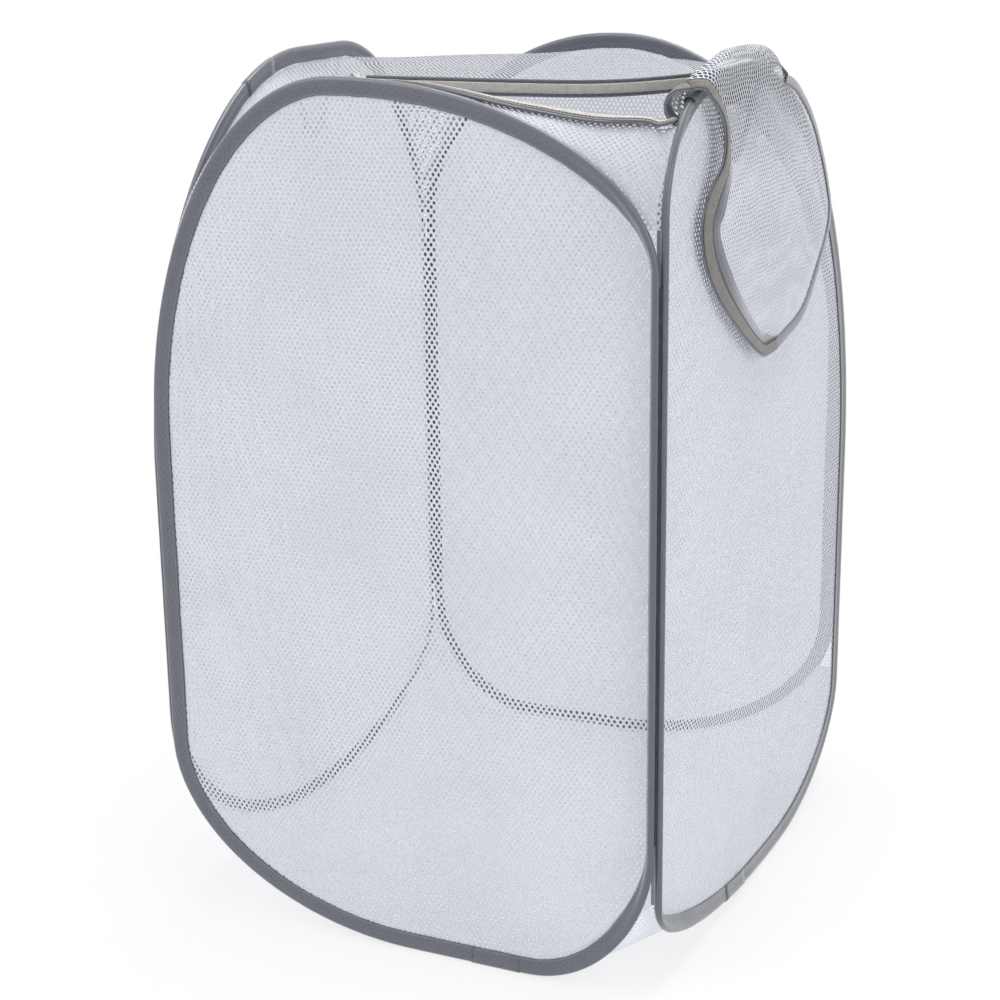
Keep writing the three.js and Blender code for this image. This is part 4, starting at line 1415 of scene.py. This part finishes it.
def make_world():
    """White to the camera and in reflections, and a plain dimmer light on the hamper."""
    world = bpy.data.worlds.new("Studio")
    world.use_nodes = True
    nodes = world.node_tree.nodes
    links = world.node_tree.links
    background = nodes["Background"]
    seen = nodes.new("ShaderNodeLightPath")
    mix = nodes.new("ShaderNodeMix")
    mix.data_type = "RGBA"
    share = seen.outputs["Is Camera Ray"]
    for other in ("Is Glossy Ray", "Is Transmission Ray"):
        strongest = nodes.new("ShaderNodeMath")
        strongest.operation = "MAXIMUM"
        links.new(share, strongest.inputs[0])
        links.new(seen.outputs[other], strongest.inputs[1])
        share = strongest.outputs[0]
    links.new(share, mix.inputs[0])
    mix.inputs[6].default_value = WORLD_COLOUR
    mix.inputs[7].default_value = (1, 1, 1, 1)
    links.new(mix.outputs[2], background.inputs["Color"])
    background.inputs["Strength"].default_value = 1
    bpy.context.scene.world = world


class HamperLook(bpy.types.PropertyGroup):
    """Colours that a user would change."""

    mesh_colour: bpy.props.FloatVectorProperty(
        name="Mesh",
        description="Colour of the knitted mesh",
        default=(0.7, 0.715, 0.76),
        subtype="COLOR",
        size=3,
    )
    binding_colour: bpy.props.FloatVectorProperty(
        name="Binding",
        description="Colour of the folded binding",
        default=(0.092, 0.097, 0.124),
        subtype="COLOR",
        size=3,
    )
    tape_colour: bpy.props.FloatVectorProperty(
        name="Tape",
        description="Colour of the opening's loop tape, which the flap's hook tape is a darker shade of",
        default=(0.64, 0.605, 0.56),
        subtype="COLOR",
        size=3,
    )
    floor_width: bpy.props.FloatProperty(
        name="Floor", description="Width of the studio floor", default=12.0, unit="LENGTH"
    )


class HAMPER_OT_sides(bpy.types.Operator):
    """Make the four mesh sides with their bindings"""

    bl_idname = "hamper.sides"
    bl_label = "Make sides"

    def execute(self, context):
        for side in HOOP_CORNERS:
            make_side(side)
        return {"FINISHED"}


class HAMPER_OT_drapes(bpy.types.Operator):
    """Make the floor, the cover and the edges of its opening"""

    bl_idname = "hamper.drapes"
    bl_label = "Make floor and cover"

    def execute(self, context):
        floor = make_drape("floor_sheet", "floor_mesh", floor_height, None, "Far mesh")
        cover = make_drape("cover_sheet", "top_mesh", cover_height, opening_outline(), "Cover mesh")
        edges = make_opening_edges()
        for piece in [floor, cover] + edges:
            fold_away(piece)
        return {"FINISHED"}


class HAMPER_OT_flap(bpy.types.Operator):
    """Make the turned out flap"""

    bl_idname = "hamper.flap"
    bl_label = "Make flap"

    def execute(self, context):
        make_flap()
        return {"FINISHED"}


class HAMPER_OT_handles(bpy.types.Operator):
    """Make the two carry handles, and finish the CAD pieces that show"""

    bl_idname = "hamper.handles"
    bl_label = "Make handles"

    def execute(self, context):
        for side in HANDLES:
            make_handle(side)
        set_looks_of_frame()
        return {"FINISHED"}


class HAMPER_OT_stage(bpy.types.Operator):
    """Make the studio floor, lamps, world and camera"""

    bl_idname = "hamper.stage"
    bl_label = "Make studio"

    def execute(self, context):
        builder = bmesh.new()
        width = context.scene.hamper_look.floor_width
        bmesh.ops.create_grid(builder, x_segments=1, y_segments=1, size=width / 2)
        floor = new_object("studio_floor", builder, studio_floor_material())
        for lamp in LAMPS:
            make_lamp(*lamp)
        make_world()
        make_camera()
        scene = context.scene
        scene.view_settings.view_transform = "Standard"
        scene.cycles.transparent_max_bounces = TRANSPARENT_BOUNCES
        return {"FINISHED"}


class HAMPER_PT_panel(bpy.types.Panel):
    """Lists the hamper's operators and colours"""

    bl_idname = "HAMPER_PT_panel"
    bl_label = "Laundry hamper"
    bl_space_type = "VIEW_3D"
    bl_region_type = "UI"
    bl_category = "Hamper"

    def draw(self, context):
        look = context.scene.hamper_look
        for name in ("mesh_colour", "binding_colour", "tape_colour", "floor_width"):
            self.layout.prop(look, name)
        for operator in OPERATORS:
            self.layout.operator(operator.bl_idname)


OPERATORS = (HAMPER_OT_sides, HAMPER_OT_drapes, HAMPER_OT_flap, HAMPER_OT_handles, HAMPER_OT_stage)
CLASSES = (HamperLook,) + OPERATORS + (HAMPER_PT_panel,)


def register():
    for piece_class in CLASSES:
        bpy.utils.register_class(piece_class)
    bpy.types.Scene.hamper_look = bpy.props.PointerProperty(type=HamperLook)


def unregister():
    del bpy.types.Scene.hamper_look
    for piece_class in reversed(CLASSES):
        bpy.utils.unregister_class(piece_class)


def main():
    register()
    bpy.ops.hamper.sides()
    bpy.ops.hamper.drapes()
    bpy.ops.hamper.flap()
    bpy.ops.hamper.handles()
    bpy.ops.hamper.stage()


if __name__ == "__main__":
    main()
